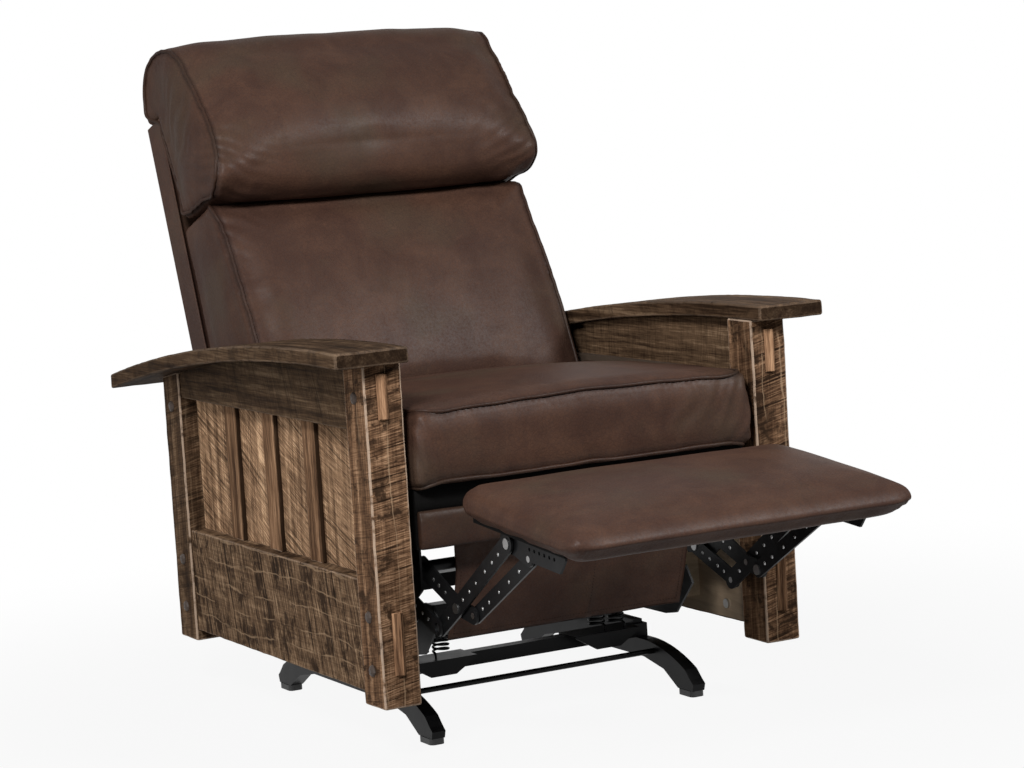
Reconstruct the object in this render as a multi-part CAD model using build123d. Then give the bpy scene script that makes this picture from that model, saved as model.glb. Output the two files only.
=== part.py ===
from build123d import *
import math
import os

os.makedirs("parts", exist_ok=True)

# Rocker recliner. Millimetres, +Z up, the floor at Z = 0, the front facing -Y.
# Sides are the sitter's: right is -X, left is +X. Most pieces are drawn on the left and mirrored.
# The rest pose has the footrest out and the back a little reclined.

# Width of the seat, which sets the widths around it
seat_half = 303.0
side_clear = 18.0

# Side frames: posts, rails, boards and arms
post_wide = 65.0
post_deep = 72.0
post_foot = 95.0
front_y = -270.0
side_deep = 835.0
rail_set = 4.5
rail_thick = 40.0
bottom_rail_low = 114.0
bottom_rail_high = 293.0
top_rail_low = 529.0
board_set = 27.0
board_thick = 13.0
board_gap = 2.0
batten_wide = 48.0
batten_proud = 9.0
batten_pitch = 161.0
batten_first = 200.0
batten_count = 3
panel_thick = 18.0
panel_low = 123.0
panel_high = 545.0
arm_lap = 1.0
arm_over = 58.5
arm_thick = 25.0
arm_radius = 4126.0
arm_top = 660.0
arm_flat_y = -206.0
arm_front_y = -300.0
arm_rear_y = 671.0
tenon_wide = 19.0
tenon_proud = 8.0
tenon_deep = 30.0
tenon_chamfer = 3.0
tenon_set = 13.5
top_tenon_low = 547.0
top_tenon_high = 618.0
bottom_tenon_low = 147.0
bottom_tenon_high = 246.0
peg_radius = 10.0
peg_proud = 5.0
peg_deep = 20.0
peg_chamfer = 2.0
front_peg_heights = (581.0, 238.0, 153.0)
rear_peg_heights = (512.0, 238.0, 153.0)

# Base: bent rails with feet, tubes, spring shelves and springs
base_mid_y = 135.0
base_half = 303.0
base_inset = 69.0
base_rail_wide = 24.0
base_rail_top = 78.0
base_rail_high = 30.0
base_rail_wall = 3.0
foot_long = 46.0
foot_toe = 4.0
pad_wide = 26.0
pad_high = 10.0
saddle_high = 30.0
saddle_half = 115.0
saddle_wide = 18.0
tube_side = 23.0
tube_wall = 2.0
tube_from_mid = 110.0
tie_radius = 4.75
tie_y = -40.0
tie_z = 62.0
shelf_thick = 3.0
shelf_inset = 81.0
shelf_wide = 127.0
shelf_ahead = 24.0
shelf_lip = 24.0
shelf_taper = 40.0
spring_y = 0.0
spring_insets = (153.0, 115.0)
spring_radius = 13.0
spring_wire = 4.0
spring_turns = 4
spring_bend = 6.0

# Rocker cams and the steel frame between the sides
cam_radius = 320.0
cam_inset = 67.0
cam_web = 4.0
cam_flange = 22.0
cam_flange_thick = 4.0
cam_front = 315.0
cam_rear = 265.0
cam_high = 118.0
roll_gap = 0.3
roll_arc_half = 125.0
frame_tube = 26.0
frame_tube_wall = 2.5
frame_tube_z = 170.0
front_tube_y = 60.0
rear_tube_y = 330.0
spring_plate_thick = 4.0
block_thick = 30.0
block_low = 150.0
block_high = 235.0
block_front = -60.0
block_rear = 440.0
plate_thick = 4.0
bolt_radius = 4.0
bolt_head = 8.0
bolt_head_high = 4.0
bolt_bite = 12.0
bolt_inset = 15.0
panel_bolt_y = -148.0
panel_bolt_z = 147.0

# Layers of the linkage, counted inwards from the mounting blocks
layer_gap = 1.0
swing_thick = 4.0
carrier_thick = 4.0
link_thick = 4.0
link_step = 6.0
first_step = 5.5

# Swing links that carry the seat
swing_long = 95.0
swing_lean = 12.0
swing_half = 13.0
swing_foot_z = 190.0
swing_front_y = 20.0
swing_rear_y = 360.0

# Seat rails, seat box and what sits on it
carrier_front = -215.0
carrier_rear = 402.0
carrier_low = 262.0
seat_low = 334.0
seat_top = 433.0
carrier_flange = 24.0
seat_front = -250.0
seat_rear = 262.0
box_side = 22.0
box_front = 24.0
fascia_thick = 12.5
fascia_high = 61.0
fascia_bulge = 4.0
wire_radius = 2.0
wire_count = 5
wire_bends = 9
wire_swing = 22.0
wire_drop = 6.0
soft_gap = 0.3

# Seat cushion
cushion_front = -289.0
cushion_rear = 250.0
cushion_over = 8.0
cushion_top_in = 6.0
cushion_high = 116.0
cushion_crown = 16.0
cushion_side = 4.0
cushion_draw = 6.0

# Front apron
apron_inset = 87.0
apron_thick = 3.0
apron_top = 345.0
apron_low = 167.0
apron_top_y = -206.0
apron_low_y = -163.0
apron_wave = 5.0
cleat_deep = 20.0

# Footrest linkage: pivots at rest, as (Y, Z)
upper_pivot = (-189.0, 295.0)
lower_pivot = (-131.5, 251.0)
low_joint = (-249.5, 207.5)
cross_joint = (-308.5, 245.5)
short_joint = (-352.0, 239.0)
rear_hole = (-489.0, 368.0)
front_hole = (-543.0, 350.5)
upper_half = 14.0
lower_half = 15.0
long_half = 15.0
short_half = 13.0
pin_radius = 5.0
pin_head = 8.5
pin_head_high = 2.5
thin_head_high = 1.5
pin_play = 0.05
drive_radius = 9.5
drive_end_radius = 8.0
open_slack = 9.0

# Footrest
rest_tilt = 4.6
rest_rear = (-376.0, 393.0)
rest_deep = 376.0
rest_over = 1.0
rest_high = 54.0
rest_crown = 14.0
rest_board_thick = 12.0
rest_board_inset = 22.0
rest_board_margin = 26.0
bracket_high = 32.0
bracket_thick = 4.0
bracket_flange = 24.0
bracket_long = 190.0
bracket_start = 92.0
bracket_hole = 3.0
bracket_holes = 6
bracket_hole_pitch = 15.0

# Back, drawn in its own plane: u runs forwards from the rear face, v runs up it
back_tilt = 19.1
back_foot = (532.0, 400.0)
back_long = 632.0
back_thick = 62.0
back_skin = 4.0
stile_wide = 50.0
back_rail = 60.0
back_side = 5.0
roll_below = 206.7
lumbar_low_front = 219.0
lumbar_top_front = 150.0
lumbar_round = 22.0
lumbar_crown = 20.0
lumbar_rear_low = 50.0
lumbar_front_low = -13.0
roll_front = 228.0
roll_high = 308.0
roll_crown = 26.0
roll_drop = 20.0
roll_over = 9.0
hinge_point = (330.0, 425.0)
hinge_radius = 7.0
hinge_washer = 12.0
back_bracket_thick = 4.0
back_bracket_half = 20.0

overrun = 1.0

post_in = seat_half + side_clear
side_outer = post_in + post_wide
arm_inner = post_in - arm_lap
arm_outer = side_outer + arm_over
rail_out = side_outer - rail_set
rail_in = rail_out - rail_thick
board_out = rail_out - board_set
board_in = board_out - board_thick
tenon_x = rail_in + tenon_set
panel_in = rail_in - panel_thick
post_rear = front_y + post_deep
rear_post_front = front_y + side_deep - post_deep
side_rear = front_y + side_deep
base_rail_in = seat_half - base_inset
shelf_out = seat_half - shelf_inset
shelf_in = shelf_out - shelf_wide
spring_xs = [seat_half - inset for inset in spring_insets]
cam_in = seat_half - cam_inset
cushion_half = seat_half + cushion_over
apron_half = seat_half - apron_inset
rest_half = seat_half + rest_over
rest_board_half = rest_half - rest_board_margin
back_half = seat_half
skin_half = back_half + back_bracket_thick + back_skin
roll_half = cushion_half + roll_over
lumbar_top = back_long - roll_below - soft_gap
contact_z = base_rail_top + saddle_high
shelf_z = base_rail_top + tube_side
plate_out = panel_in - block_thick
plate_in = plate_out - plate_thick
swing_out = plate_in - layer_gap
swing_in = swing_out - swing_thick
carrier_out = swing_in - layer_gap
carrier_in = carrier_out - carrier_thick
lower_in = carrier_in - first_step
long_in = lower_in - link_step
upper_in = long_in - link_step
short_in = upper_in - link_step
swing_rise = swing_long * math.cos(math.radians(swing_lean))
swing_back = swing_long * math.sin(math.radians(swing_lean))
cam_centre_z = contact_z + roll_gap + cam_radius

pieces = {}


def block(x0, x1, y0, y1, z0, z1):
    """A box between two corners."""
    centre = Pos((x0 + x1) / 2, (y0 + y1) / 2, (z0 + z1) / 2)
    return centre * Box(abs(x1 - x0), abs(y1 - y0), abs(z1 - z0))


def side_face(edges):
    """A face in the YZ plane from a closed run of edges."""
    return Plane.YZ * make_face(edges)


def across(face, x0, x1):
    """A face of the YZ plane made solid from x0 to x1."""
    return extrude(Pos(x0, 0, 0) * face, x1 - x0, dir=(1, 0, 0))


def rod(x0, x1, y, z, radius):
    """A round bar along X."""
    disc = Plane.YZ * (Pos(y, z) * Circle(radius))
    return across(disc, x0, x1)


def both(solid):
    """The same piece on both sides, as two separate solids."""
    return Compound([*solid.solids(), *mirror(solid, about=Plane.YZ).solids()])


def keep_sides(name, solid):
    """Keeps a piece of the left side and its mirror image on the right."""
    pieces[name + "_left"] = solid
    pieces[name + "_right"] = mirror(solid, about=Plane.YZ)


def arc_height(y, radius):
    """Height of the arm's top or underside at y."""
    centre_z = arm_top - arm_radius
    return centre_z + math.sqrt(radius ** 2 - (y - arm_flat_y) ** 2)


def bowed(y0, y1, radius):
    """An arc edge that follows the arm's bow from y0 to y1."""
    middle = (y0 + y1) / 2
    heights = [(y, arc_height(y, radius)) for y in (y0, middle, y1)]
    return ThreePointArc(*heights)


under_radius = arm_radius - arm_thick


def under_arm(y0, y1, z0):
    """The face between z0 and the arm's underside."""
    top = bowed(y0, y1, under_radius)
    edges = [
        top,
        Line((y1, arc_height(y1, under_radius)), (y1, z0)),
        Line((y1, z0), (y0, z0)),
        Line((y0, z0), (y0, arc_height(y0, under_radius))),
    ]
    return side_face(edges)


def pegs():
    """Round pegs on the outer faces of the posts of one side."""
    rows = [(front_y + post_deep / 2, z) for z in front_peg_heights]
    rows += [(side_rear - post_deep / 2, z) for z in rear_peg_heights]
    made = []
    for y, z in rows:
        peg = rod(side_outer - peg_deep, side_outer + peg_proud, y, z, peg_radius)
        end = peg.faces().sort_by(Axis.X)[-1]
        made.append(chamfer(end.edges(), peg_chamfer))
    return made


def tenons():
    """Loose tenons from the rails through one front post."""
    made = []
    for low, high in ((top_tenon_low, top_tenon_high), (bottom_tenon_low, bottom_tenon_high)):
        x0, x1 = tenon_x - tenon_wide / 2, tenon_x + tenon_wide / 2
        tenon = block(x0, x1, front_y - tenon_proud, post_rear + tenon_deep, low, high)
        end = tenon.faces().sort_by(Axis.Y)[0]
        made.append(chamfer(end.edges(), tenon_chamfer))
    return made


def make_sides():
    """Posts, rails, slat boards, battens, inner panels and arms."""
    side_pegs, side_tenons = pegs(), tenons()
    cutters = side_pegs + side_tenons
    front_post = across(under_arm(front_y, post_rear, post_foot), post_in, side_outer) - cutters
    rear_post = across(under_arm(rear_post_front, side_rear, post_foot), post_in, side_outer) - cutters
    top_rail = across(under_arm(post_rear, rear_post_front, top_rail_low), rail_in, rail_out) - cutters
    bottom = block(rail_in, rail_out, post_rear, rear_post_front, bottom_rail_low, bottom_rail_high)
    keep_sides("front_post", front_post)
    keep_sides("rear_post", rear_post)
    keep_sides("top_rail", top_rail)
    keep_sides("bottom_rail", bottom - cutters)
    centres = [post_rear + batten_first + batten_pitch * i for i in range(batten_count)]
    ends = [post_rear, *centres, rear_post_front]
    boards = []
    for i, (y0, y1) in enumerate(zip(ends, ends[1:])):
        low = y0 + (board_gap / 2 if i else 0)
        high = y1 - (board_gap / 2 if i < batten_count else 0)
        boards.append(block(board_in, board_out, low, high, bottom_rail_high, top_rail_low))
    keep_sides("slat_boards", Compound(boards))
    battens = [
        block(board_out, board_out + batten_proud, y - batten_wide / 2, y + batten_wide / 2,
              bottom_rail_high, top_rail_low)
        for y in centres
    ]
    pieces["battens"] = both(Compound(battens))
    keep_sides("inner_panel", block(panel_in, rail_in, post_rear, rear_post_front, panel_low, panel_high))
    over = [(y, arc_height(y, arm_radius)) for y in (arm_front_y, arm_rear_y)]
    under = [(y, arc_height(y, under_radius)) for y in (arm_front_y, arm_rear_y)]
    arm = side_face([
        bowed(arm_front_y, arm_rear_y, arm_radius),
        Line(over[1], under[1]),
        bowed(arm_rear_y, arm_front_y, under_radius),
        Line(under[0], over[0]),
    ])
    keep_sides("arm_board", across(arm, arm_inner, arm_outer))
    pieces["pegs"] = both(Compound(side_pegs))
    pieces["tenons"] = both(Compound(side_tenons))


def rail_profile():
    """Side outline of one base rail, foot to foot."""
    front = base_mid_y - base_half
    low = base_rail_top - base_rail_high
    heel = front + foot_toe + foot_long
    slope_shares = ((0.03, 0.29), (0.08, 0.51), (0.28, 0.85), (0.51, 1.0))
    rise = base_rail_top - pad_high
    over = [(front + base_half * s, pad_high + rise * h) for s, h in slope_shares]
    under_shares = ((0.31, 0.68), (0.52, 1.0))
    drop = low - pad_high
    under = [(front + base_half * s, pad_high + drop * h) for s, h in under_shares]
    toe, sole = (front, pad_high + foot_toe * 3), (front + foot_toe, pad_high)
    half = [
        Line((base_mid_y, base_rail_top), over[3]),
        ThreePointArc(over[3], over[2], over[1]),
        Line(over[1], over[0]),
        Line(over[0], toe),
        Line(toe, sole),
        Line(sole, (heel, pad_high)),
        Line((heel, pad_high), under[0]),
        Line(under[0], under[1]),
        Line(under[1], (base_mid_y, low)),
        Line((base_mid_y, low), (base_mid_y, base_rail_top)),
    ]
    return make_face(half)


def make_base():
    """Base rails, saddles, pads, tubes, spring shelves and the rocking springs."""
    x0, x1 = base_rail_in, base_rail_in + base_rail_wide
    half = across(Plane.YZ * rail_profile(), x0, x1)
    rail = half + mirror(half, about=Plane.XZ.offset(-base_mid_y))
    hollow = base_half / 2
    rail -= block(x0 + base_rail_wall, x1 - base_rail_wall, base_mid_y - hollow, base_mid_y + hollow,
                  0, base_rail_top - base_rail_wall)
    middle = (x0 + x1) / 2
    saddle = block(x0, x0 + saddle_wide, base_mid_y - saddle_half, base_mid_y + saddle_half,
                   base_rail_top, contact_z)
    tubes, bores = [], []
    for y in (base_mid_y - tube_from_mid, base_mid_y + tube_from_mid):
        outer = block(-x1, x1, y - tube_side / 2, y + tube_side / 2, base_rail_top, shelf_z)
        bore_half = tube_side / 2 - tube_wall
        inner = block(-x1 - overrun, x1 + overrun, y - bore_half, y + bore_half,
                      base_rail_top + tube_wall, shelf_z - tube_wall)
        tubes.append(outer - inner)
        bores.append(outer)
    keep_sides("base_rail", rail + (saddle - bores))
    pads = []
    for end in (-1, 1):
        toe = base_mid_y + end * base_half
        y0, y1 = sorted((toe - end * foot_toe, toe - end * (foot_toe + foot_long)))
        pad = block(middle - pad_wide / 2, middle + pad_wide / 2, y0, y1, 0, pad_high)
        pads.append(fillet(pad.edges().filter_by(Axis.Z), pad_high * 0.8))
    pieces["foot_pads"] = both(Compound(pads))
    pieces["base_tubes"] = Compound([*tubes, rod(-x0, x0, tie_y, tie_z, tie_radius)])
    shelf_front, shelf_rear = spring_y - shelf_ahead, base_mid_y - tube_from_mid + tube_side / 2
    shelf = block(shelf_in, shelf_out, shelf_front, shelf_rear, shelf_z, shelf_z + shelf_thick)
    lip_face = make_face(Polyline(
        (shelf_in, shelf_z), (shelf_out, shelf_z), (shelf_out - shelf_taper, shelf_z - shelf_lip),
        (shelf_in + shelf_taper, shelf_z - shelf_lip), close=True).edges())
    lip = extrude(Plane.XZ.offset(-shelf_front) * lip_face, shelf_thick, dir=(0, 1, 0))
    pieces["spring_shelves"] = both(shelf + lip)
    low, high = shelf_z + shelf_thick, frame_tube_z - frame_tube / 2 - spring_plate_thick
    springs = [coil_spring(x, spring_y, low, high) for x in spring_xs]
    pieces["rocking_springs"] = both(Compound(springs))


def biarc(start, start_way, end, end_way):
    """Two arcs that join smoothly, from one point and direction to another."""
    chord = end - start
    both_ways = start_way + end_way
    a = 2 * (start_way.dot(end_way) - 1)
    b = -2 * chord.dot(both_ways)
    c = chord.dot(chord)
    root = math.sqrt(b * b - 4 * a * c)
    reach = (-b - root) / (2 * a) if abs(a) > 1e-9 else -c / b
    reach = reach if reach > 0 else (-b + root) / (2 * a)
    middle = (start + end + (start_way - end_way) * reach) / 2
    first = TangentArc(start, middle, tangent=start_way)
    return [first, TangentArc(middle, end, tangent=first % 1)]


def coil_spring(x, y, low, high):
    """A coil spring between two plates, with both ends bent square to them."""
    lead = spring_wire + spring_bend
    climb = high - low - 2 * lead
    steps = spring_turns * 4

    def place(k):
        turn = k * math.pi / 2
        return Vector(x + spring_radius * math.cos(turn), y + spring_radius * math.sin(turn),
                      low + lead + climb * k / steps)

    def way(k):
        turn = k * math.pi / 2
        rise = climb / (spring_turns * 2 * math.pi)
        return Vector(-spring_radius * math.sin(turn), spring_radius * math.cos(turn), rise).normalized()

    up = Vector(0, 0, 1)
    foot, head = place(0) - way(0) * spring_bend, place(steps) + way(steps) * spring_bend
    foot, head = Vector(foot.X, foot.Y, low + spring_wire), Vector(head.X, head.Y, high - spring_wire)
    edges = [Line(foot - up * spring_wire, foot), *biarc(foot, up, place(0), way(0))]
    for k in range(steps):
        edges += biarc(place(k), way(k), place(k + 1), way(k + 1))
    edges += biarc(place(steps), way(steps), head, up)
    edges.append(Line(head, head + up * spring_wire))
    path = Wire(edges)
    samples = [path @ (i / 600) for i in range(601)]
    apart = int(600 * 3 * spring_wire / path.length)
    gaps = [
        (samples[i] - samples[j]).length - spring_wire
        for i in range(0, 601, 4) for j in range(i + apart, 601, 4)
    ]
    print("spring at x", x, "length", round(path.length, 1), "least gap to itself", round(min(gaps), 2))
    section = Plane(foot - up * spring_wire, z_dir=up) * Circle(spring_wire / 2)
    return sweep(section, path=path)


def cam_arc(y):
    """Height of the rolling edge at y."""
    return cam_centre_z - math.sqrt(cam_radius ** 2 - (y - base_mid_y) ** 2)


def make_frame():
    """Rocker cams, cross tubes, mounting blocks, side plates and their bolts."""
    y0, y1 = base_mid_y - roll_arc_half, base_mid_y + roll_arc_half
    low = contact_z + roll_gap
    front_shares = ((0.71, 0.22), (0.82, 0.27), (1.0, 0.76), (0.94, 1.0), (0.85, 1.0), (0.76, 0.70))
    rear_shares = ((1.0, 0.70), (0.94, 0.27))
    front = [(base_mid_y - cam_front * s, low + cam_high * h) for s, h in front_shares]
    rear = [(base_mid_y + cam_rear * s, low + cam_high * h) for s, h in rear_shares]
    outline = [(y0, cam_arc(y0)), *front, *rear, (y1, cam_arc(y1))]
    edges = [Line(a, b) for a, b in zip(outline, outline[1:])]
    edges.append(ThreePointArc(outline[-1], (base_mid_y, low), outline[0]))
    web = across(side_face(edges), cam_in, cam_in + cam_web)
    inner = cam_radius - cam_flange_thick

    def on_ring(y, radius):
        return (y, cam_centre_z - math.sqrt(radius ** 2 - (y - base_mid_y) ** 2))

    flange_face = side_face([
        ThreePointArc(on_ring(y0, cam_radius), (base_mid_y, low), on_ring(y1, cam_radius)),
        Line(on_ring(y1, cam_radius), on_ring(y1, inner)),
        ThreePointArc(on_ring(y1, inner), (base_mid_y, low + cam_flange_thick), on_ring(y0, inner)),
        Line(on_ring(y0, inner), on_ring(y0, cam_radius)),
    ])
    middle = cam_in + cam_web / 2
    cam = web + across(flange_face, middle - cam_flange / 2, middle + cam_flange / 2)
    tubes, blanks = [], []
    for y in (front_tube_y, rear_tube_y):
        half, z = frame_tube / 2, frame_tube_z
        outer = block(-plate_in, plate_in, y - half, y + half, z - half, z + half)
        half -= frame_tube_wall
        bore = block(-plate_in - overrun, plate_in + overrun, y - half, y + half, z - half, z + half)
        blanks.append(outer)
        tubes.append(outer - bore)
    keep_sides("rocker_cam", cam - blanks)
    plate_low = frame_tube_z - frame_tube / 2 - spring_plate_thick
    spring_plate = block(spring_xs[0] - spring_radius * 2, spring_xs[1] + spring_radius * 2,
                         spring_y - spring_radius * 2, front_tube_y + frame_tube / 2,
                         plate_low, plate_low + spring_plate_thick)
    pieces["frame_tubes"] = Compound([*tubes, *both(spring_plate).solids()])
    mid_y, high_z = (block_front + block_rear) / 2, block_high - bolt_inset
    spots = [(block_front + bolt_inset, block_low + bolt_inset), (mid_y, high_z),
             (mid_y, block_low + bolt_inset), (block_rear - bolt_inset, block_low + bolt_inset)]
    bolts = []
    for y, z in spots:
        shank = rod(plate_in, panel_in + bolt_bite, y, z, bolt_radius)
        bolts.append(shank + rod(plate_in - bolt_head_high, plate_in, y, z, bolt_head))
    spot = (panel_bolt_y, panel_bolt_z)
    shank = rod(panel_in, panel_in + bolt_bite, *spot, bolt_radius)
    bolts.append(shank + rod(panel_in - bolt_head_high, panel_in, *spot, bolt_head))
    pieces["frame_bolts"] = both(Compound(bolts))
    for side in ("left", "right"):
        cutters = bolts if side == "left" else [mirror(bolt, about=Plane.YZ) for bolt in bolts]
        pieces["inner_panel_" + side] -= cutters
    blocks = block(plate_out, panel_in, block_front, block_rear, block_low, block_high) - bolts
    pieces["mounting_blocks"] = both(blocks)
    plate = block(plate_in, plate_out, block_front, block_rear, block_low, block_high) - bolts
    studs = swing_studs(0)
    for stud in studs:
        plate += stud
    pieces["side_plates"] = both(plate)


def swing_ends():
    """Lower and upper pivots of the front and rear swing links."""
    lower = [(swing_front_y, swing_foot_z), (swing_rear_y, swing_foot_z)]
    upper = [(y + swing_back, z + swing_rise) for y, z in lower]
    return lower, upper


def swing_studs(level):
    """Studs of the swing links: level 0 on the side plates, level 1 on the seat rails."""
    studs = []
    for y, z in swing_ends()[level]:
        x0, x1 = (swing_in - pin_play, plate_in) if level == 0 else (carrier_out, swing_out + pin_play)
        head = (x0 - pin_head_high, x0) if level == 0 else (x1, x1 + pin_head_high)
        studs.append(rod(x0, x1, y, z, pin_radius) + rod(*head, y, z, pin_head))
    return studs


def bar(points, radii):
    """A flat link outline: round ends and straight flanks through the points."""
    shape = None
    for point, radius in zip(points, radii):
        disc = Pos(*point) * Circle(radius)
        shape = disc if shape is None else shape + disc
    for (p, q), (rp, rq) in zip(zip(points, points[1:]), zip(radii, radii[1:])):
        run = Vector(q[0] - p[0], q[1] - p[1])
        side = Vector(-run.Y, run.X).normalized()
        lean = (rp - rq) / run.length
        along = run.normalized()
        offset = side * math.sqrt(1 - lean ** 2) + along * lean
        other = side * -math.sqrt(1 - lean ** 2) + along * lean
        start, stop = Vector(*p), Vector(*q)
        corners = [start + offset * rp, stop + offset * rq, stop + other * rq, start + other * rp]
        strip = make_face(Polyline(*[(c.X, c.Y) for c in corners], close=True).edges())
        shape = shape + strip
    return shape


def link(points, radii, x0, holes):
    """A flat steel link, with (point, radius) holes."""
    shape = bar(points, radii)
    for point, radius in holes:
        shape -= Pos(*point) * Circle(radius)
    return across(Plane.YZ * shape, x0, x0 + link_thick)


def make_swings():
    """Front and rear swing links between the side plates and the seat rails."""
    lower, upper = swing_ends()
    hole = pin_radius + pin_play
    for name, low, high in zip(("front_swing_links", "rear_swing_links"), lower, upper):
        shape = link([low, high], [swing_half, swing_half], swing_in, [(low, hole), (high, hole)])
        pieces[name] = both(shape)


def pin(point, x0, x1, low_head=0, high_head=0):
    """A rivet along X, with a head of the given height outside each end."""
    made = rod(x0, x1, *point, pin_radius)
    if low_head:
        made += rod(x0 - low_head, x0, *point, pin_head)
    if high_head:
        made += rod(x1, x1 + high_head, *point, pin_head)
    return made


def make_footrest_links():
    """The four links of each side, their rivets and the drive tube."""
    play = pin_radius + pin_play
    keep_sides("lower_link", link(
        [lower_pivot, low_joint], [lower_half, upper_half], lower_in,
        [(lower_pivot, play), (low_joint, play + open_slack / 3)]))
    keep_sides("long_link", link(
        [low_joint, cross_joint, rear_hole], [long_half, long_half, long_half], long_in,
        [(low_joint, pin_radius), (cross_joint, play), (rear_hole, play)]))
    keep_sides("upper_link", link(
        [upper_pivot, cross_joint, short_joint], [upper_half + link_thick, upper_half, upper_half], upper_in,
        [(upper_pivot, drive_end_radius), (cross_joint, pin_radius), (short_joint, pin_radius)]))
    keep_sides("short_link", link(
        [short_joint, front_hole], [short_half, short_half], short_in,
        [(short_joint, play), (front_hole, play + open_slack / 3)]))
    gap = pin_play
    cross = pin(cross_joint, upper_in, long_in + link_thick + gap, high_head=thin_head_high)
    short = pin(short_joint, short_in - gap, upper_in + link_thick, low_head=pin_head_high)
    pieces["upper_link_rivets"] = both(Compound([cross, short]))
    low = pin(low_joint, long_in, long_in + link_thick)
    washer = rod(long_in + link_thick, lower_in - gap, *low_joint, pin_head)
    pieces["long_link_rivets"] = both(low + washer)
    tube = rod(-upper_in, upper_in, *upper_pivot, drive_radius) - rod(
        -upper_in - overrun, upper_in + overrun, *upper_pivot, drive_radius - tube_wall)
    plug = rod(upper_in - drive_end_radius, upper_in, *upper_pivot, drive_radius - tube_wall)
    stub = rod(upper_in, carrier_out + gap, *upper_pivot, drive_end_radius)
    cap_in = carrier_out + gap
    cap = rod(cap_in, cap_in + pin_head_high, *upper_pivot, drive_radius + pin_head_high)
    whole = tube + plug + stub + cap
    pieces["drive_tube"] = whole + mirror(plug + stub + cap, about=Plane.YZ)


def make_seat():
    """Seat rails, seat box, fascia, zigzag springs and the seat's pins."""
    lobe_low = lower_pivot[1] - lower_half
    outline = [
        (carrier_front, seat_low), (carrier_front, carrier_low), (lower_pivot[0] - 3 * lower_half, lobe_low),
        (lower_pivot[0] + 2 * lower_half, lobe_low), (lower_pivot[0] + 4 * lower_half, carrier_low),
        (carrier_rear, carrier_low), (carrier_rear, carrier_low + 2 * back_bracket_half),
        (hinge_point[0] + back_bracket_half, hinge_point[1]),
        (hinge_point[0], hinge_point[1] + back_bracket_half),
        (hinge_point[0] - back_bracket_half, hinge_point[1]),
        (seat_rear + soft_gap, seat_low),
    ]
    face = side_face(Polyline(*outline, close=True).edges())
    rail = across(face, carrier_in, carrier_out)
    rail += block(carrier_in, carrier_out + carrier_flange, carrier_front, seat_rear,
                  seat_low - carrier_thick, seat_low)
    for stud in swing_studs(1):
        rail += stud
    rail -= rod(carrier_in - overrun, carrier_out + overrun, *upper_pivot, drive_end_radius + pin_play)
    rail -= rod(carrier_in - overrun, carrier_out + overrun, *lower_pivot, pin_radius)
    rail -= rod(carrier_in - overrun, carrier_out + overrun, *hinge_point, hinge_radius)
    keep_sides("seat_rail", rail)
    low_pin = pin(lower_pivot, lower_in - pin_play, carrier_out, low_head=thin_head_high)
    collar = rod(lower_in + link_thick + pin_play, carrier_in, *lower_pivot, pin_head)
    bracket_out = back_half + back_bracket_thick
    hinge = rod(carrier_in, bracket_out + pin_play, *hinge_point, hinge_radius)
    hinge += rod(carrier_out, back_half - pin_play, *hinge_point, hinge_washer)
    hinge += rod(bracket_out + pin_play, bracket_out + pin_play + pin_head_high, *hinge_point, hinge_washer)
    pieces["seat_pins"] = both(Compound([low_pin + collar, hinge]))
    box_low = seat_low
    outer = block(-seat_half, seat_half, seat_front, seat_rear, box_low, seat_top)
    inner = block(-seat_half + box_side, seat_half - box_side, seat_front + box_front, seat_rear - box_front,
                  box_low - overrun, seat_top + overrun)
    cleat = block(-apron_half, apron_half, seat_front + box_front, apron_top_y + apron_thick / 2 + cleat_deep,
                  box_low, apron_top + cleat_deep / 2)
    slot = block(-apron_half, apron_half, apron_top_y - apron_thick / 2, apron_top_y + apron_thick / 2,
                 box_low - overrun, apron_top)
    pieces["seat_box"] = (outer - inner) + (cleat - slot)
    x, z0, z1 = seat_half, seat_low, seat_low + fascia_high
    y1, y0 = seat_front, seat_front - fascia_thick
    face = side_face([
        Line((y1, z0), (y1, z1)), Line((y1, z1), (y0, z1)),
        ThreePointArc((y0, z1), (y0 - fascia_bulge, (z0 + z1) / 2), (y0, z0)), Line((y0, z0), (y1, z0)),
    ])
    pieces["seat_fascia"] = across(face, -x, x)
    y0, y1 = seat_front + box_front, seat_rear - box_front
    z = seat_top - wire_drop
    wires = []
    for i in range(wire_count):
        x = (2 * (i + 1) / (wire_count + 1) - 1) * (seat_half - box_side)
        wires.append(zigzag(y0, y1, x, z))
    pieces["seat_springs"] = Compound(wires)


def zigzag(y0, y1, x, z):
    """A zigzag spring wire along Y, flat at height z."""
    pitch = (y1 - y0) / (wire_bends + 1)
    points = [(x, y0, z), (x, y0 + pitch * 0.3, z)]
    for k in range(wire_bends):
        side = wire_swing if k % 2 else -wire_swing
        points += [(x + side, y0 + pitch * (k + 0.7), z), (x + side, y0 + pitch * (k + 1.3), z)]
    points += [(x, y1 - pitch * 0.3, z), (x, y1, z)]
    path = FilletPolyline(*points, radius=pitch * 0.12)
    return sweep(Plane((x, y0, z), z_dir=path % 0) * Circle(wire_radius), path=path)


def boxed_section(half, low, high, crown, side):
    """A closed outline in x and z: flat bottom, round sides that lean in, crowned top."""
    top_half = half - cushion_top_in
    a, b, c, d = (-half, low), (half, low), (top_half, high), (-top_half, high)
    middle = (low + high) / 2
    bulge = (half + top_half) / 2 + side
    return make_face([
        Line(a, b),
        ThreePointArc(b, (bulge, middle), c),
        ThreePointArc(c, (0, high + crown), d),
        ThreePointArc(d, (-bulge, middle), a),
    ])


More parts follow.
